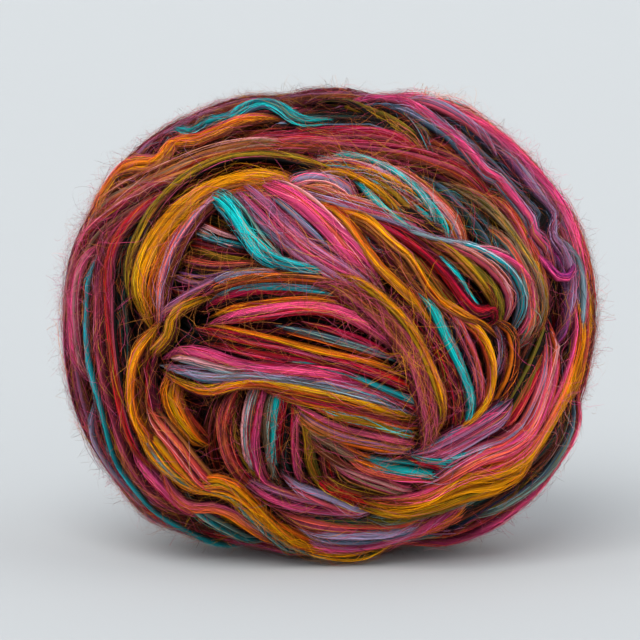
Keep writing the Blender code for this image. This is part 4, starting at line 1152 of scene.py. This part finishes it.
def add_fibres(parts, strand, turn, number, count, lay, wool, cover, rng):
    """Fibres on the outer side of a strand, each a ribbon that follows it, but for those that are buried."""
    length, width = wool.fibre_length * lay.length / MM, wool.fibre_width * lay.width / MM
    reach = strand.reach
    t = np.linspace(0, 1, round(length / lay.step) + 1)[None, :]
    long = length * rng.uniform(*FIBRE_SPREAD, count)
    start = rng.uniform(-long, reach[-1])
    end = np.minimum(start + long, reach[-1] * (1 - FIBRE_END * rng.uniform(0, 1, count) ** 2))
    start = np.maximum(start, reach[-1] * FIBRE_END * rng.uniform(0, 1, count) ** 2)
    s = start[:, None] + np.maximum(end - start, LEAST_FIBRE)[:, None] * t
    slant = rng.normal(0, lay.slant, count)
    lean = rng.uniform(-FIBRE_SIDE, FIBRE_SIDE, count)
    phi = lean[:, None] + slant[:, None] * (s - s.mean(axis=1, keepdims=True))
    phi = phi + wander(rng, count, long[:, None] * t, FIBRE_WAVE) * lay.wave
    rest = lay.off + rng.uniform(0, OFF_SPREAD, count)[:, None]
    rest = rest + wander(rng, count, long[:, None] * t, FIBRE_BOW) * BOW_SHARE * lay.off**BOW_POWER
    loose = (rng.uniform(0, 1, count) < lay.loose)[:, None]
    tips = np.clip(1 - np.minimum(t, 1 - t) / TIP_PART, 0, 1) ** 2
    rest = rest + np.where(loose, LOOSE_TIP, LAID_TIP) * tips

    def at(values):
        return np.stack([np.interp(s, reach, values[:, i]) for i in range(3)], axis=-1)

    middle, aside, outward = at(strand.middle), at(strand.aside), at(strand.outward)
    half_width = np.interp(s, reach, strand.half_width)[..., None]
    half_thick = np.interp(s, reach, strand.half_thick)[..., None]
    sine, cosine = np.sin(phi)[..., None], np.cos(phi)[..., None]
    places = middle + (aside * half_width * sine + outward * half_thick * cosine) * rest[..., None]
    flat = unit(aside * half_width * cosine - outward * half_thick * sine)
    proud = unit(aside * half_thick * sine + outward * half_width * cosine)
    tilt = rng.normal(0, RIBBON_TILT, count)[:, None, None]
    ribbon = flat * np.cos(tilt) + proud * np.sin(tilt)
    taper = np.sqrt(np.clip(np.minimum(t, 1 - t) / RIBBON_POINT, RIBBON_BLUNT, 1))[..., None]
    half = ribbon * width / 2 * rng.uniform(*FIBRE_SPREAD, count)[:, None, None] * taper
    vertices = np.stack([places - half, places + half], axis=2)
    across = strand.low + (strand.high - strand.low) * (0.5 + 0.5 * np.sin(lean))
    strayed = across + rng.normal(0, FRAY / turn.width, count)
    drift = wander(rng, 1, reach, DRIFT_PERIOD)[0]
    strayed = strayed + np.interp(s.mean(axis=1), reach, drift) * DRIFT / turn.width
    dye = dye_at(turn.dyes, np.clip(strayed, 0, 1))
    stray = rng.uniform(0, 1, count)
    dye = np.where(stray < lay.stray, dye_at(turn.dyes, rng.uniform(0, 1, count)), dye)
    dye = np.where(stray > 1 - lay.plain, dye_at(HAZE_DYES, rng.uniform(0, 1, count)), dye)
    # painted shade: fibres darker down the strand's sides, at its tucked tips and on turns that lie low
    deep = strand.shade + (1 - np.clip(np.cos(phi), 0, 1)) ** SIDE_SHADE
    deep = np.clip(deep + TIP_PAINTED_SHADE * (1 - np.interp(s, reach, strand.taper)), 0, 1)
    v = number + across * turn.width / WOOL_UNIT + rng.normal(0, GRAIN, count)
    shown = ~cover.hides(places)
    parts.add_ribbons(vertices[shown], s[shown] / WOOL_UNIT, v[shown], dye[shown], deep[shown])


def ribbon_uvs(along, across, number, rows):
    """The wool UVs of ribbons, and their bake UVs, each ribbon in the row that its number gives it."""
    here, there = along[:, :-1], along[:, 1:]
    flat = np.broadcast_to(across[:, None], here.shape)
    wool = np.stack([here, flat, here, flat, there, flat, there, flat], axis=-1)
    ends, edges = RIBBON_CELL
    share = np.linspace(*ends, along.shape[1])
    column = (number % BAKE_COLUMNS)[:, None]
    start, end = ((column + part[None]) / BAKE_COLUMNS for part in (share[:-1], share[1:]))
    row = (number // BAKE_COLUMNS)[:, None]
    low, top = (BODIES_BAKE + (1 - BODIES_BAKE) * (row + edge) / rows for edge in edges)
    low, top = (np.broadcast_to(line, here.shape) for line in (low, top))
    return wool, np.stack([start, low, start, top, end, top, end, low], axis=-1)


def wind_piece(name, piece, salt, wool, material, cover):
    """The turns of one piece as an object: the strands' bodies, the fibres that lie on them, and haze."""
    parts, lay = MeshParts(), piece.lay
    wound = [turn_strands(turn, piece.where, np.random.default_rng([wool.seed, salt, i]))
             for i, turn in enumerate(piece.turns)]
    slots, slot = sum(len(strands) for strands in wound), 0
    for i, (turn, strands) in enumerate(zip(piece.turns, wound)):
        rng = np.random.default_rng([wool.seed, salt, i, 1])
        for strand in strands:
            add_body(parts, strand, turn, i, slot, slots)
            count = fibre_count(strand, wool.cover, lay, wool)
            add_fibres(parts, strand, turn, i, count, lay, wool, cover, rng)
            slot += 1
        over = haze_strand(turn, piece.where)
        count = fibre_count(over, wool.haze * piece.fuzz, HAZE, wool)
        add_fibres(parts, over, turn, i, count, HAZE, wool, cover, rng)
    parts.to_object(name, material)


# --- materials ---------------------------------------------------------------------------------------


def add_node(tree, kind, at, **settings):
    """A new node at its place in the editor, with the settings given."""
    node = tree.nodes.new(kind)
    node.location = at
    for key, value in settings.items():
        setattr(node, key, value)
    return node


def new_group(name, inputs, outputs):
    """An empty node group with its sockets, as (kind, name, default) for each input."""
    group = bpy.data.node_groups.new(name, "ShaderNodeTree")
    for kind, label, default in inputs:
        socket = group.interface.new_socket(label, in_out="INPUT", socket_type=kind)
        socket.default_value = default
    for kind, label in outputs:
        group.interface.new_socket(label, in_out="OUTPUT", socket_type=kind)
    source = add_node(group, "NodeGroupInput", (-900, 0))
    result = add_node(group, "NodeGroupOutput", (1000, 0))
    return group, source, result


def math_node(tree, operation, first, second, at, clamp=False):
    """A Math node whose inputs are sockets or numbers."""
    node = add_node(tree, "ShaderNodeMath", at, operation=operation, use_clamp=clamp)
    for socket, value in zip(node.inputs, (first, second)):
        if isinstance(value, (int, float)):
            socket.default_value = value
        else:
            tree.links.new(value, socket)
    return node.outputs[0]


def fibre_noise(tree, put, stretch, across, detail, height):
    """Smooth noise drawn out along the fibres, with a socket's number of them in a unit across."""
    along = math_node(tree, "MULTIPLY", put["Along"], stretch, (-720, height))
    over = math_node(tree, "MULTIPLY", put["Across"], put[across], (-720, height - 160))
    place = add_node(tree, "ShaderNodeCombineXYZ", (-520, height))
    for socket, value in zip(place.inputs, (along, over, put["Seed"])):
        tree.links.new(value, socket)
    noise = add_node(tree, "ShaderNodeTexNoise", (-340, height), noise_dimensions="3D")
    noise.inputs["Scale"].default_value = 1
    noise.inputs["Detail"].default_value = detail
    tree.links.new(place.outputs[0], noise.inputs["Vector"])
    return noise.outputs["Fac"]


def fibre_shade_group():
    """How light, rough and raised the wool is from fibre to fibre, and how far painted shade darkens it."""
    number = "NodeSocketFloat"
    group, source, result = new_group(
        "Fibre shade",
        (("NodeSocketColor", "Dye", (0.5, 0.5, 0.5, 1)), (number, "Along", 0), (number, "Across", 0),
         (number, "Seed", 0), (number, "Depth", 0), (number, "Fibres Across", 260),
         (number, "Tufts Across", 60), (number, "Strands Across", 28), (number, "Contrast", 0.6)),
        (("NodeSocketColor", "Colour"), (number, "Roughness"), (number, "Height")),
    )
    tuft_contrast, lightness = 1.1, 1.08
    parting_slope, parting_shade = 12, 0.5  # painted shade: dark lines where the strands part, where their noise crosses its middle
    hollow_shade = 0.955  # how much of its light wool loses under painted shade 1, as dark as a deep hollow
    least_hue, hue_spread = 0.47, 0.06  # 0.5 is the dye's own hue
    least_roughness, roughness_spread = 0.4, 0.3
    put = source.outputs

    def maths(operation, first, second, at, clamp=False):
        return math_node(group, operation, first, second, at, clamp)

    fine = fibre_noise(group, put, stretch=5, across="Fibres Across", detail=2, height=0)
    tuft = fibre_noise(group, put, stretch=3, across="Tufts Across", detail=1, height=-350)
    parted = fibre_noise(group, put, stretch=1.3, across="Strands Across", detail=1, height=-700)
    fine_part = maths("MULTIPLY", maths("SUBTRACT", fine, 0.5, (-120, 0)), put["Contrast"], (40, 0))
    tuft_part = maths("MULTIPLY", maths("SUBTRACT", tuft, 0.5, (-120, -300)), tuft_contrast, (40, -300))
    apart = maths("ABSOLUTE", maths("SUBTRACT", parted, 0.5, (-120, -700)), 0, (40, -700))
    apart = maths("MULTIPLY", apart, parting_slope, (200, -700))
    painted_parting_shade = maths("ADD", apart, parting_shade, (340, -700), clamp=True)
    # painted shade: the wool darkens with the shade painted at its vertices
    hollow = maths("MULTIPLY", put["Depth"], hollow_shade, (340, -550))
    value = maths("ADD", maths("ADD", fine_part, tuft_part, (200, -100)), lightness, (340, -100))
    # painted shade in the partings between strands
    value = maths("MULTIPLY", value, painted_parting_shade, (480, -100))
    value = maths("MULTIPLY", value, maths("SUBTRACT", 1.0, hollow, (480, -550)), (640, -200))
    hue = maths("ADD", maths("MULTIPLY", tuft, hue_spread, (200, 350)), least_hue, (340, 350))
    rough = maths("MULTIPLY", fine, roughness_spread, (200, -400))
    rough = maths("ADD", rough, least_roughness, (340, -400))
    shade = add_node(group, "ShaderNodeHueSaturation", (800, 200))
    for value, socket in (
        (put["Dye"], shade.inputs["Color"]),
        (value, shade.inputs["Value"]),
        (hue, shade.inputs["Hue"]),
        (shade.outputs[0], result.inputs["Colour"]),
        (rough, result.inputs["Roughness"]),
        (fine, result.inputs["Height"]),
    ):
        group.links.new(value, socket)
    return group


def wool_material(dyes):
    """Combed wool, each fibre in its own dye, darkened by the painted shade that its vertices carry."""
    material = bpy.data.materials.get(WOOL)
    if material:
        return material
    material = bpy.data.materials.new(WOOL)
    material.use_nodes = True
    tree = material.node_tree
    shader = tree.nodes["Principled BSDF"]
    uv = add_node(tree, "ShaderNodeUVMap", (-1300, 0), uv_map="Wool")
    split = add_node(tree, "ShaderNodeSeparateXYZ", (-1120, 0))
    dye = add_node(tree, "ShaderNodeAttribute", (-900, 200), attribute_name="Dye")
    depth = add_node(tree, "ShaderNodeAttribute", (-700, -300), attribute_name="Depth")
    chart = add_node(tree, "ShaderNodeValToRGB", (-700, 200))
    chart.color_ramp.interpolation = "CONSTANT"
    stops = chart.color_ramp.elements
    while len(stops) < len(DYES):
        stops.new(0.5)
    for i, stop in enumerate(stops):
        stop.position = i / len(DYES)
    for stop, name in zip(stops, DYES):
        stop.color = (*getattr(dyes, name), 1)
    shade = add_node(tree, "ShaderNodeGroup", (-380, 100), node_tree=fibre_shade_group())
    shade.inputs["Fibres Across"].default_value = 260
    shade.inputs["Tufts Across"].default_value = 36
    shade.inputs["Strands Across"].default_value = 28
    shade.inputs["Contrast"].default_value = 0.18
    bump = add_node(tree, "ShaderNodeBump", (-180, -250))
    bump.inputs["Strength"].default_value = 0.5
    bump.inputs["Distance"].default_value = 0.3 * MM
    shader.inputs["Specular IOR Level"].default_value = 0.06
    for value, socket in (
        (uv.outputs[0], split.inputs[0]),
        (dye.outputs["Fac"], chart.inputs["Fac"]),
        (chart.outputs["Color"], shade.inputs["Dye"]),
        (split.outputs["X"], shade.inputs["Along"]),
        (split.outputs["Y"], shade.inputs["Across"]),
        (depth.outputs["Fac"], shade.inputs["Depth"]),
        (shade.outputs["Height"], bump.inputs["Height"]),
        (shade.outputs["Colour"], shader.inputs["Base Color"]),
        (shade.outputs["Roughness"], shader.inputs["Roughness"]),
        (bump.outputs[0], shader.inputs["Normal"]),
    ):
        tree.links.new(value, socket)
    return material


# --- the bed and the loose hairs ---------------------------------------------------------------------


def wind_bed(wool, dyes, rng):
    """The dark inner wool that shows between the turns, dyed mostly black and darkened further by painted
    shade.
    """
    rings, sides, pole_gap = 48, 96, 0.02
    furrow, furrows, bulge, bulges = 0.012, 34, 0.008, 5  # as shares of the radius
    polar = np.linspace(pole_gap, pi - pole_gap, rings)
    clock = np.linspace(0, 2 * pi, sides, endpoint=False)
    ball = np.stack(
        [
            np.sin(polar)[:, None] * np.cos(clock)[None],
            np.broadcast_to(-np.cos(polar)[:, None], (rings, sides)),
            np.sin(polar)[:, None] * np.sin(clock)[None],
        ],
        axis=-1,
    )
    ripple = 1 + furrow * np.sin(polar * furrows)[:, None] + bulge * np.sin(clock * bulges)[None]
    places = onto_skin(ball * SKIN)
    places = (places - outward_at(places) * BED_INSET) * ripple[..., None]
    wool_along, wool_across = 2, 5
    wool_uv = grid_uvs(np.linspace(0, wool_along, rings), np.linspace(0, wool_across, sides + 1))
    bake = grid_uvs(np.linspace(0, 1, rings), np.linspace(0, 1, sides + 1))
    dye = dye_at(BED_DYES_AND_SHADE, rng.uniform(0, 1, (rings - 1, sides)))
    parts = MeshParts()
    # the bed takes the painted shade of a hollow
    parts.add(places, grid_faces(rings, sides, closed=True), wool_uv, bake, dye, BED_PAINTED_SHADE)
    made = parts.to_object("bed", wool_material(dyes))
    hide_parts(NODE)


def hair_edges(lines, width):
    """The two edges of thin ribbons along the lines, (hairs, steps, 3), each with a pointed end."""
    along = unit(np.gradient(lines, axis=1))
    flat = unit(np.cross(along, unit(lines)))
    t = np.linspace(0, 1, lines.shape[1])[None, :, None]
    half = flat * width / 2 * np.sqrt(np.clip((1 - t) * HAIR_NARROWING, 0.05, 1))
    return np.stack([lines - half, lines + half], axis=2)


def add_hairs(parts, lines, width, dyes, rng):
    """Hairs along the lines, in the dyes and with a place of its own on the wool for each."""
    count, steps = lines.shape[:2]
    wool_along, wool_across = 0.3, 9
    along = np.broadcast_to(np.linspace(0, wool_along, steps), (count, steps))
    dye = dye_at(dyes, rng.uniform(0, 1, count))
    across = rng.uniform(0, wool_across, count)
    # the hairs are darkened evenly on the painted shade scale
    parts.add_ribbons(hair_edges(lines, width), along, across, dye, np.full((count, steps), HAIR_DARKENING))


def loose_lines(start, lift, hair, rng):
    """Hairs that start on the skin, run with the winding but for a swing, and curl away from it."""
    count, outward = len(start), outward_at(start)
    hoop = unit(np.cross(outward, np.array((0.0, 1.0, 0.0))))
    swing = rng.normal(0, hair.swing, count)[:, None]
    way = unit(hoop * np.cos(swing) + np.cross(outward, hoop) * np.sin(swing))
    way = way * rng.choice([-1, 1], count)[:, None]
    length = rng.gamma(LENGTH_SPREAD, hair.mean_length / LENGTH_SPREAD, count)
    length = length.clip(SHORTEST_HAIR, hair.longest)
    t = np.linspace(0, 1, hair.steps)[None, :]
    reach = length[:, None] * t
    lines = start[:, None] + way[:, None] * reach[..., None]
    rise = rng.gamma(*HAIR_RISE, count).clip(0, HIGHEST_HAIR)[:, None]
    arched = rng.uniform(0, 1, (count, 1)) < ARCHED_HAIRS
    hump = np.where(arched, np.sin(pi * t), t**STAND_OFF) * rise
    curl = np.stack([wander(rng, count, reach, hair.mean_length / CURLS) for _ in range(3)], axis=-1)
    curled = np.minimum(MOST_CURL, length * CURL_SHARE)
    lines = lines + curl * (curled[:, None] * np.sqrt(t))[..., None]
    skin = onto_skin(lines)
    return skin + outward_at(skin) * (hump + lift)[..., None]


def scatter_hairs(wool, dyes, rng):
    """Loose hairs all over the ball, a few long ones and many short ones, and one stray hair."""
    parts, width = MeshParts(), wool.hair_width / MM
    for count, hair in ((wool.long_hairs, LONG_HAIR), (wool.short_hairs, SHORT_HAIR)):
        ways = rng.normal(0, 1, (count, 3)) * (1, 0.7, 1)  # fewer on the front and the back
        lines = loose_lines(onto_skin(unit(ways) * SKIN), -HAIRS_SINK, hair, rng)
        add_hairs(parts, lines, width, HAIR_DYES, rng)
    parts.to_object("loose_hairs", wool_material(dyes))
    stray = smooth_line([(across, -STRAY_BEFORE, up) for across, up in STRAY_HAIR], pieces=5)
    parts = MeshParts()
    add_hairs(parts, stray[None], width, HAIR_DYES, rng)
    parts.to_object("stray_hair", wool_material(dyes))


def frizz_patches(wool, dyes, rng):
    """The curly hairs of the frizzy patches, a little thicker than the others."""
    parts = MeshParts()
    for patch in FRIZZ:
        plan = np.array(patch.middle) + rng.normal(0, FRIZZ_SPREAD, (patch.count, 2)) * patch.reach
        lines = loose_lines(face_places(plan, -1), patch.lift, FRIZZ_HAIR, rng)
        add_hairs(parts, lines, FRIZZ_WIDTH * wool.hair_width / MM, patch.dyes, rng)
    parts.to_object("frizz", wool_material(dyes))


# --- operators -----------------------------------------------------------------------------------------


class RovingOperator:
    """What the operators share: the settings, and seeded random numbers."""

    bl_options = {"REGISTER", "UNDO"}

    def settings(self, context):
        return context.scene.roving_wool, context.scene.roving_dyes

    def wind(self, context, names):
        wool, dyes = self.settings(context)
        cover = whole_cover(wool)
        for salt, (name, piece) in enumerate(PIECES.items()):
            if name in names:
                wind_piece(name, piece, salt, wool, wool_material(dyes), cover)
        return {"FINISHED"}


class ROVING_OT_bed(RovingOperator, bpy.types.Operator):
    """Make the dark inner wool that shows between the turns"""

    bl_idname = "roving.bed"
    bl_label = "Inner wool"

    def execute(self, context):
        wool, dyes = self.settings(context)
        wind_bed(wool, dyes, np.random.default_rng([wool.seed, 8]))
        return {"FINISHED"}


class ROVING_OT_rim(RovingOperator, bpy.types.Operator):
    """Wind the turns that go over the rim"""

    bl_idname = "roving.rim"
    bl_label = "Turns over the rim"

    def execute(self, context):
        return self.wind(context, OVER_THE_RIM)


class ROVING_OT_back(RovingOperator, bpy.types.Operator):
    """Wind the turns across the back"""

    bl_idname = "roving.back"
    bl_label = "Turns across the back"

    def execute(self, context):
        return self.wind(context, ("back",))


class ROVING_OT_ring(RovingOperator, bpy.types.Operator):
    """Wind the ring of turns round the edge of the front face"""

    bl_idname = "roving.ring"
    bl_label = "Ring of turns"

    def execute(self, context):
        return self.wind(context, RING)


class ROVING_OT_knot(RovingOperator, bpy.types.Operator):
    """Wind the knot of crossing turns in the middle of the front face"""

    bl_idname = "roving.knot"
    bl_label = "Knot of turns"

    def execute(self, context):
        return self.wind(context, KNOT)


class ROVING_OT_hairs(RovingOperator, bpy.types.Operator):
    """Scatter the loose hairs that stand off the ball"""

    bl_idname = "roving.hairs"
    bl_label = "Loose hairs"

    def execute(self, context):
        wool, dyes = self.settings(context)
        scatter_hairs(wool, dyes, np.random.default_rng([wool.seed, 9]))
        return {"FINISHED"}


class ROVING_OT_frizz(RovingOperator, bpy.types.Operator):
    """Lay the frizzy patches of curly hairs over the front face"""

    bl_idname = "roving.frizz"
    bl_label = "Frizz"

    def execute(self, context):
        wool, dyes = self.settings(context)
        frizz_patches(wool, dyes, np.random.default_rng([wool.seed, 10]))
        return {"FINISHED"}


def plain_material(name, colour):
    """A plain studio surface with a faint cloudiness."""
    cloud_shade = 0.985
    material = bpy.data.materials.new(name)
    material.use_nodes = True
    tree = material.node_tree
    shader = tree.nodes["Principled BSDF"]
    noise = add_node(tree, "ShaderNodeTexNoise", (-600, 0))
    noise.inputs["Scale"].default_value = 1.5
    ramp = add_node(tree, "ShaderNodeValToRGB", (-350, 0))
    ramp.color_ramp.elements[0].color = (*(c * cloud_shade for c in colour), 1)
    ramp.color_ramp.elements[1].color = (*colour, 1)
    tree.links.new(noise.outputs["Fac"], ramp.inputs["Fac"])
    tree.links.new(ramp.outputs["Color"], shader.inputs["Base Color"])
    shader.inputs["Roughness"].default_value = 0.9
    return material


def studio_floor():
    """A pale floor that curves up behind the ball into a backdrop."""
    front, back, half, bend, height = -6.0, 4.0, 6.0, 2.0, 6.0  # metres
    bend_steps = 13
    profile = [(front, 0.0)]
    profile += [(back + bend * sin(a), bend * (1 - cos(a))) for a in np.linspace(0, pi / 2, bend_steps)]
    profile += [(back + bend, height)]
    vertices = [(x, y, z) for y, z in profile for x in (-half, half)]
    faces = [(2 * i, 2 * i + 1, 2 * i + 3, 2 * i + 2) for i in range(len(profile) - 1)]
    mesh = bpy.data.meshes.new("studio_floor")
    mesh.from_pydata(vertices, [], faces)
    mesh.polygons.foreach_set("use_smooth", [True] * len(faces))
    mesh.materials.append(plain_material("pale_floor", linear(FLOOR_COLOUR)))
    floor = bpy.data.objects.new("studio_floor", mesh)
    bpy.context.scene.collection.objects.link(floor)


def soft_sun(name, way, spread, strength):
    """Even light over the whole stage, from the direction given, as soft as its spread in degrees."""
    light = bpy.data.lights.new(name, "SUN")
    light.energy = strength
    light.angle = radians(spread)
    lamp = bpy.data.objects.new(name, light)
    lamp.location = way
    lamp.rotation_euler = (-Vector(way)).to_track_quat("-Z", "Y").to_euler()
    bpy.context.scene.collection.objects.link(lamp)


def photo_camera():
    """A long lens that looks square at the front face, framed as the photographed view."""
    data = bpy.data.cameras.new("camera")
    data.sensor_width = SENSOR
    data.lens = SENSOR * CAMERA_DISTANCE / (PHOTO_PIXELS * MM_PER_PIXEL * MM)
    data.clip_start, data.clip_end = 0.05, 50
    camera = bpy.data.objects.new("camera", data)
    right = (PHOTO_PIXELS / 2 - BALL_MIDDLE_PIXEL[0]) * MM_PER_PIXEL * MM
    up = (BALL_MIDDLE_PIXEL[1] - PHOTO_PIXELS / 2) * MM_PER_PIXEL * MM
    back = Vector((0, -cos(FACE_TILT), sin(FACE_TILT)))
    upward = Vector((0, sin(FACE_TILT), cos(FACE_TILT)))
    camera.location = Vector((right, 0, CENTRE_Z * MM)) + upward * up + back * CAMERA_DISTANCE
    camera.rotation_euler = (-back).to_track_quat("-Z", "Y").to_euler()
    bpy.context.scene.collection.objects.link(camera)
    bpy.context.scene.camera = camera


class ROVING_OT_stage(bpy.types.Operator):
    """Set up the pale floor, the soft lights and the camera"""

    bl_idname = "roving.stage"
    bl_label = "Stage"

    def execute(self, context):
        studio_floor()
        context.scene.view_settings.view_transform = "Standard"
        for light in LIGHTS:
            soft_sun(*light)
        world = bpy.data.worlds.new("studio")
        world.use_nodes = True
        air = world.node_tree.nodes["Background"]
        air.inputs["Color"].default_value = (*linear(AIR_COLOUR), 1)
        air.inputs["Strength"].default_value = AIR_STRENGTH
        context.scene.world = world
        photo_camera()
        return {"FINISHED"}


OPERATORS = (
    ROVING_OT_bed,
    ROVING_OT_rim,
    ROVING_OT_back,
    ROVING_OT_ring,
    ROVING_OT_knot,
    ROVING_OT_hairs,
    ROVING_OT_frizz,
    ROVING_OT_stage,
)


class ROVING_PT_panel(bpy.types.Panel):
    """The roving ball's pieces and settings"""

    bl_label = "Wool roving ball"
    bl_space_type = "VIEW_3D"
    bl_region_type = "UI"
    bl_category = "Roving"

    def draw(self, context):
        for operator in OPERATORS:
            self.layout.operator(operator.bl_idname)
        for group in (context.scene.roving_wool, context.scene.roving_dyes):
            for key in group.bl_rna.properties.keys():
                if key not in ("rna_type", "name"):
                    self.layout.prop(group, key)


CLASSES = (ROVING_PG_dyes, ROVING_PG_wool, *OPERATORS, ROVING_PT_panel)


def register():
    for cls in CLASSES:
        bpy.utils.register_class(cls)
    bpy.types.Scene.roving_dyes = PointerProperty(type=ROVING_PG_dyes)
    bpy.types.Scene.roving_wool = PointerProperty(type=ROVING_PG_wool)


def unregister():
    del bpy.types.Scene.roving_wool
    del bpy.types.Scene.roving_dyes
    for cls in reversed(CLASSES):
        bpy.utils.unregister_class(cls)


def main():
    register()
    bpy.ops.roving.bed()
    bpy.ops.roving.rim()
    bpy.ops.roving.back()
    bpy.ops.roving.ring()
    bpy.ops.roving.knot()
    bpy.ops.roving.hairs()
    bpy.ops.roving.frizz()
    bpy.ops.roving.stage()


if __name__ == "__main__":
    main()
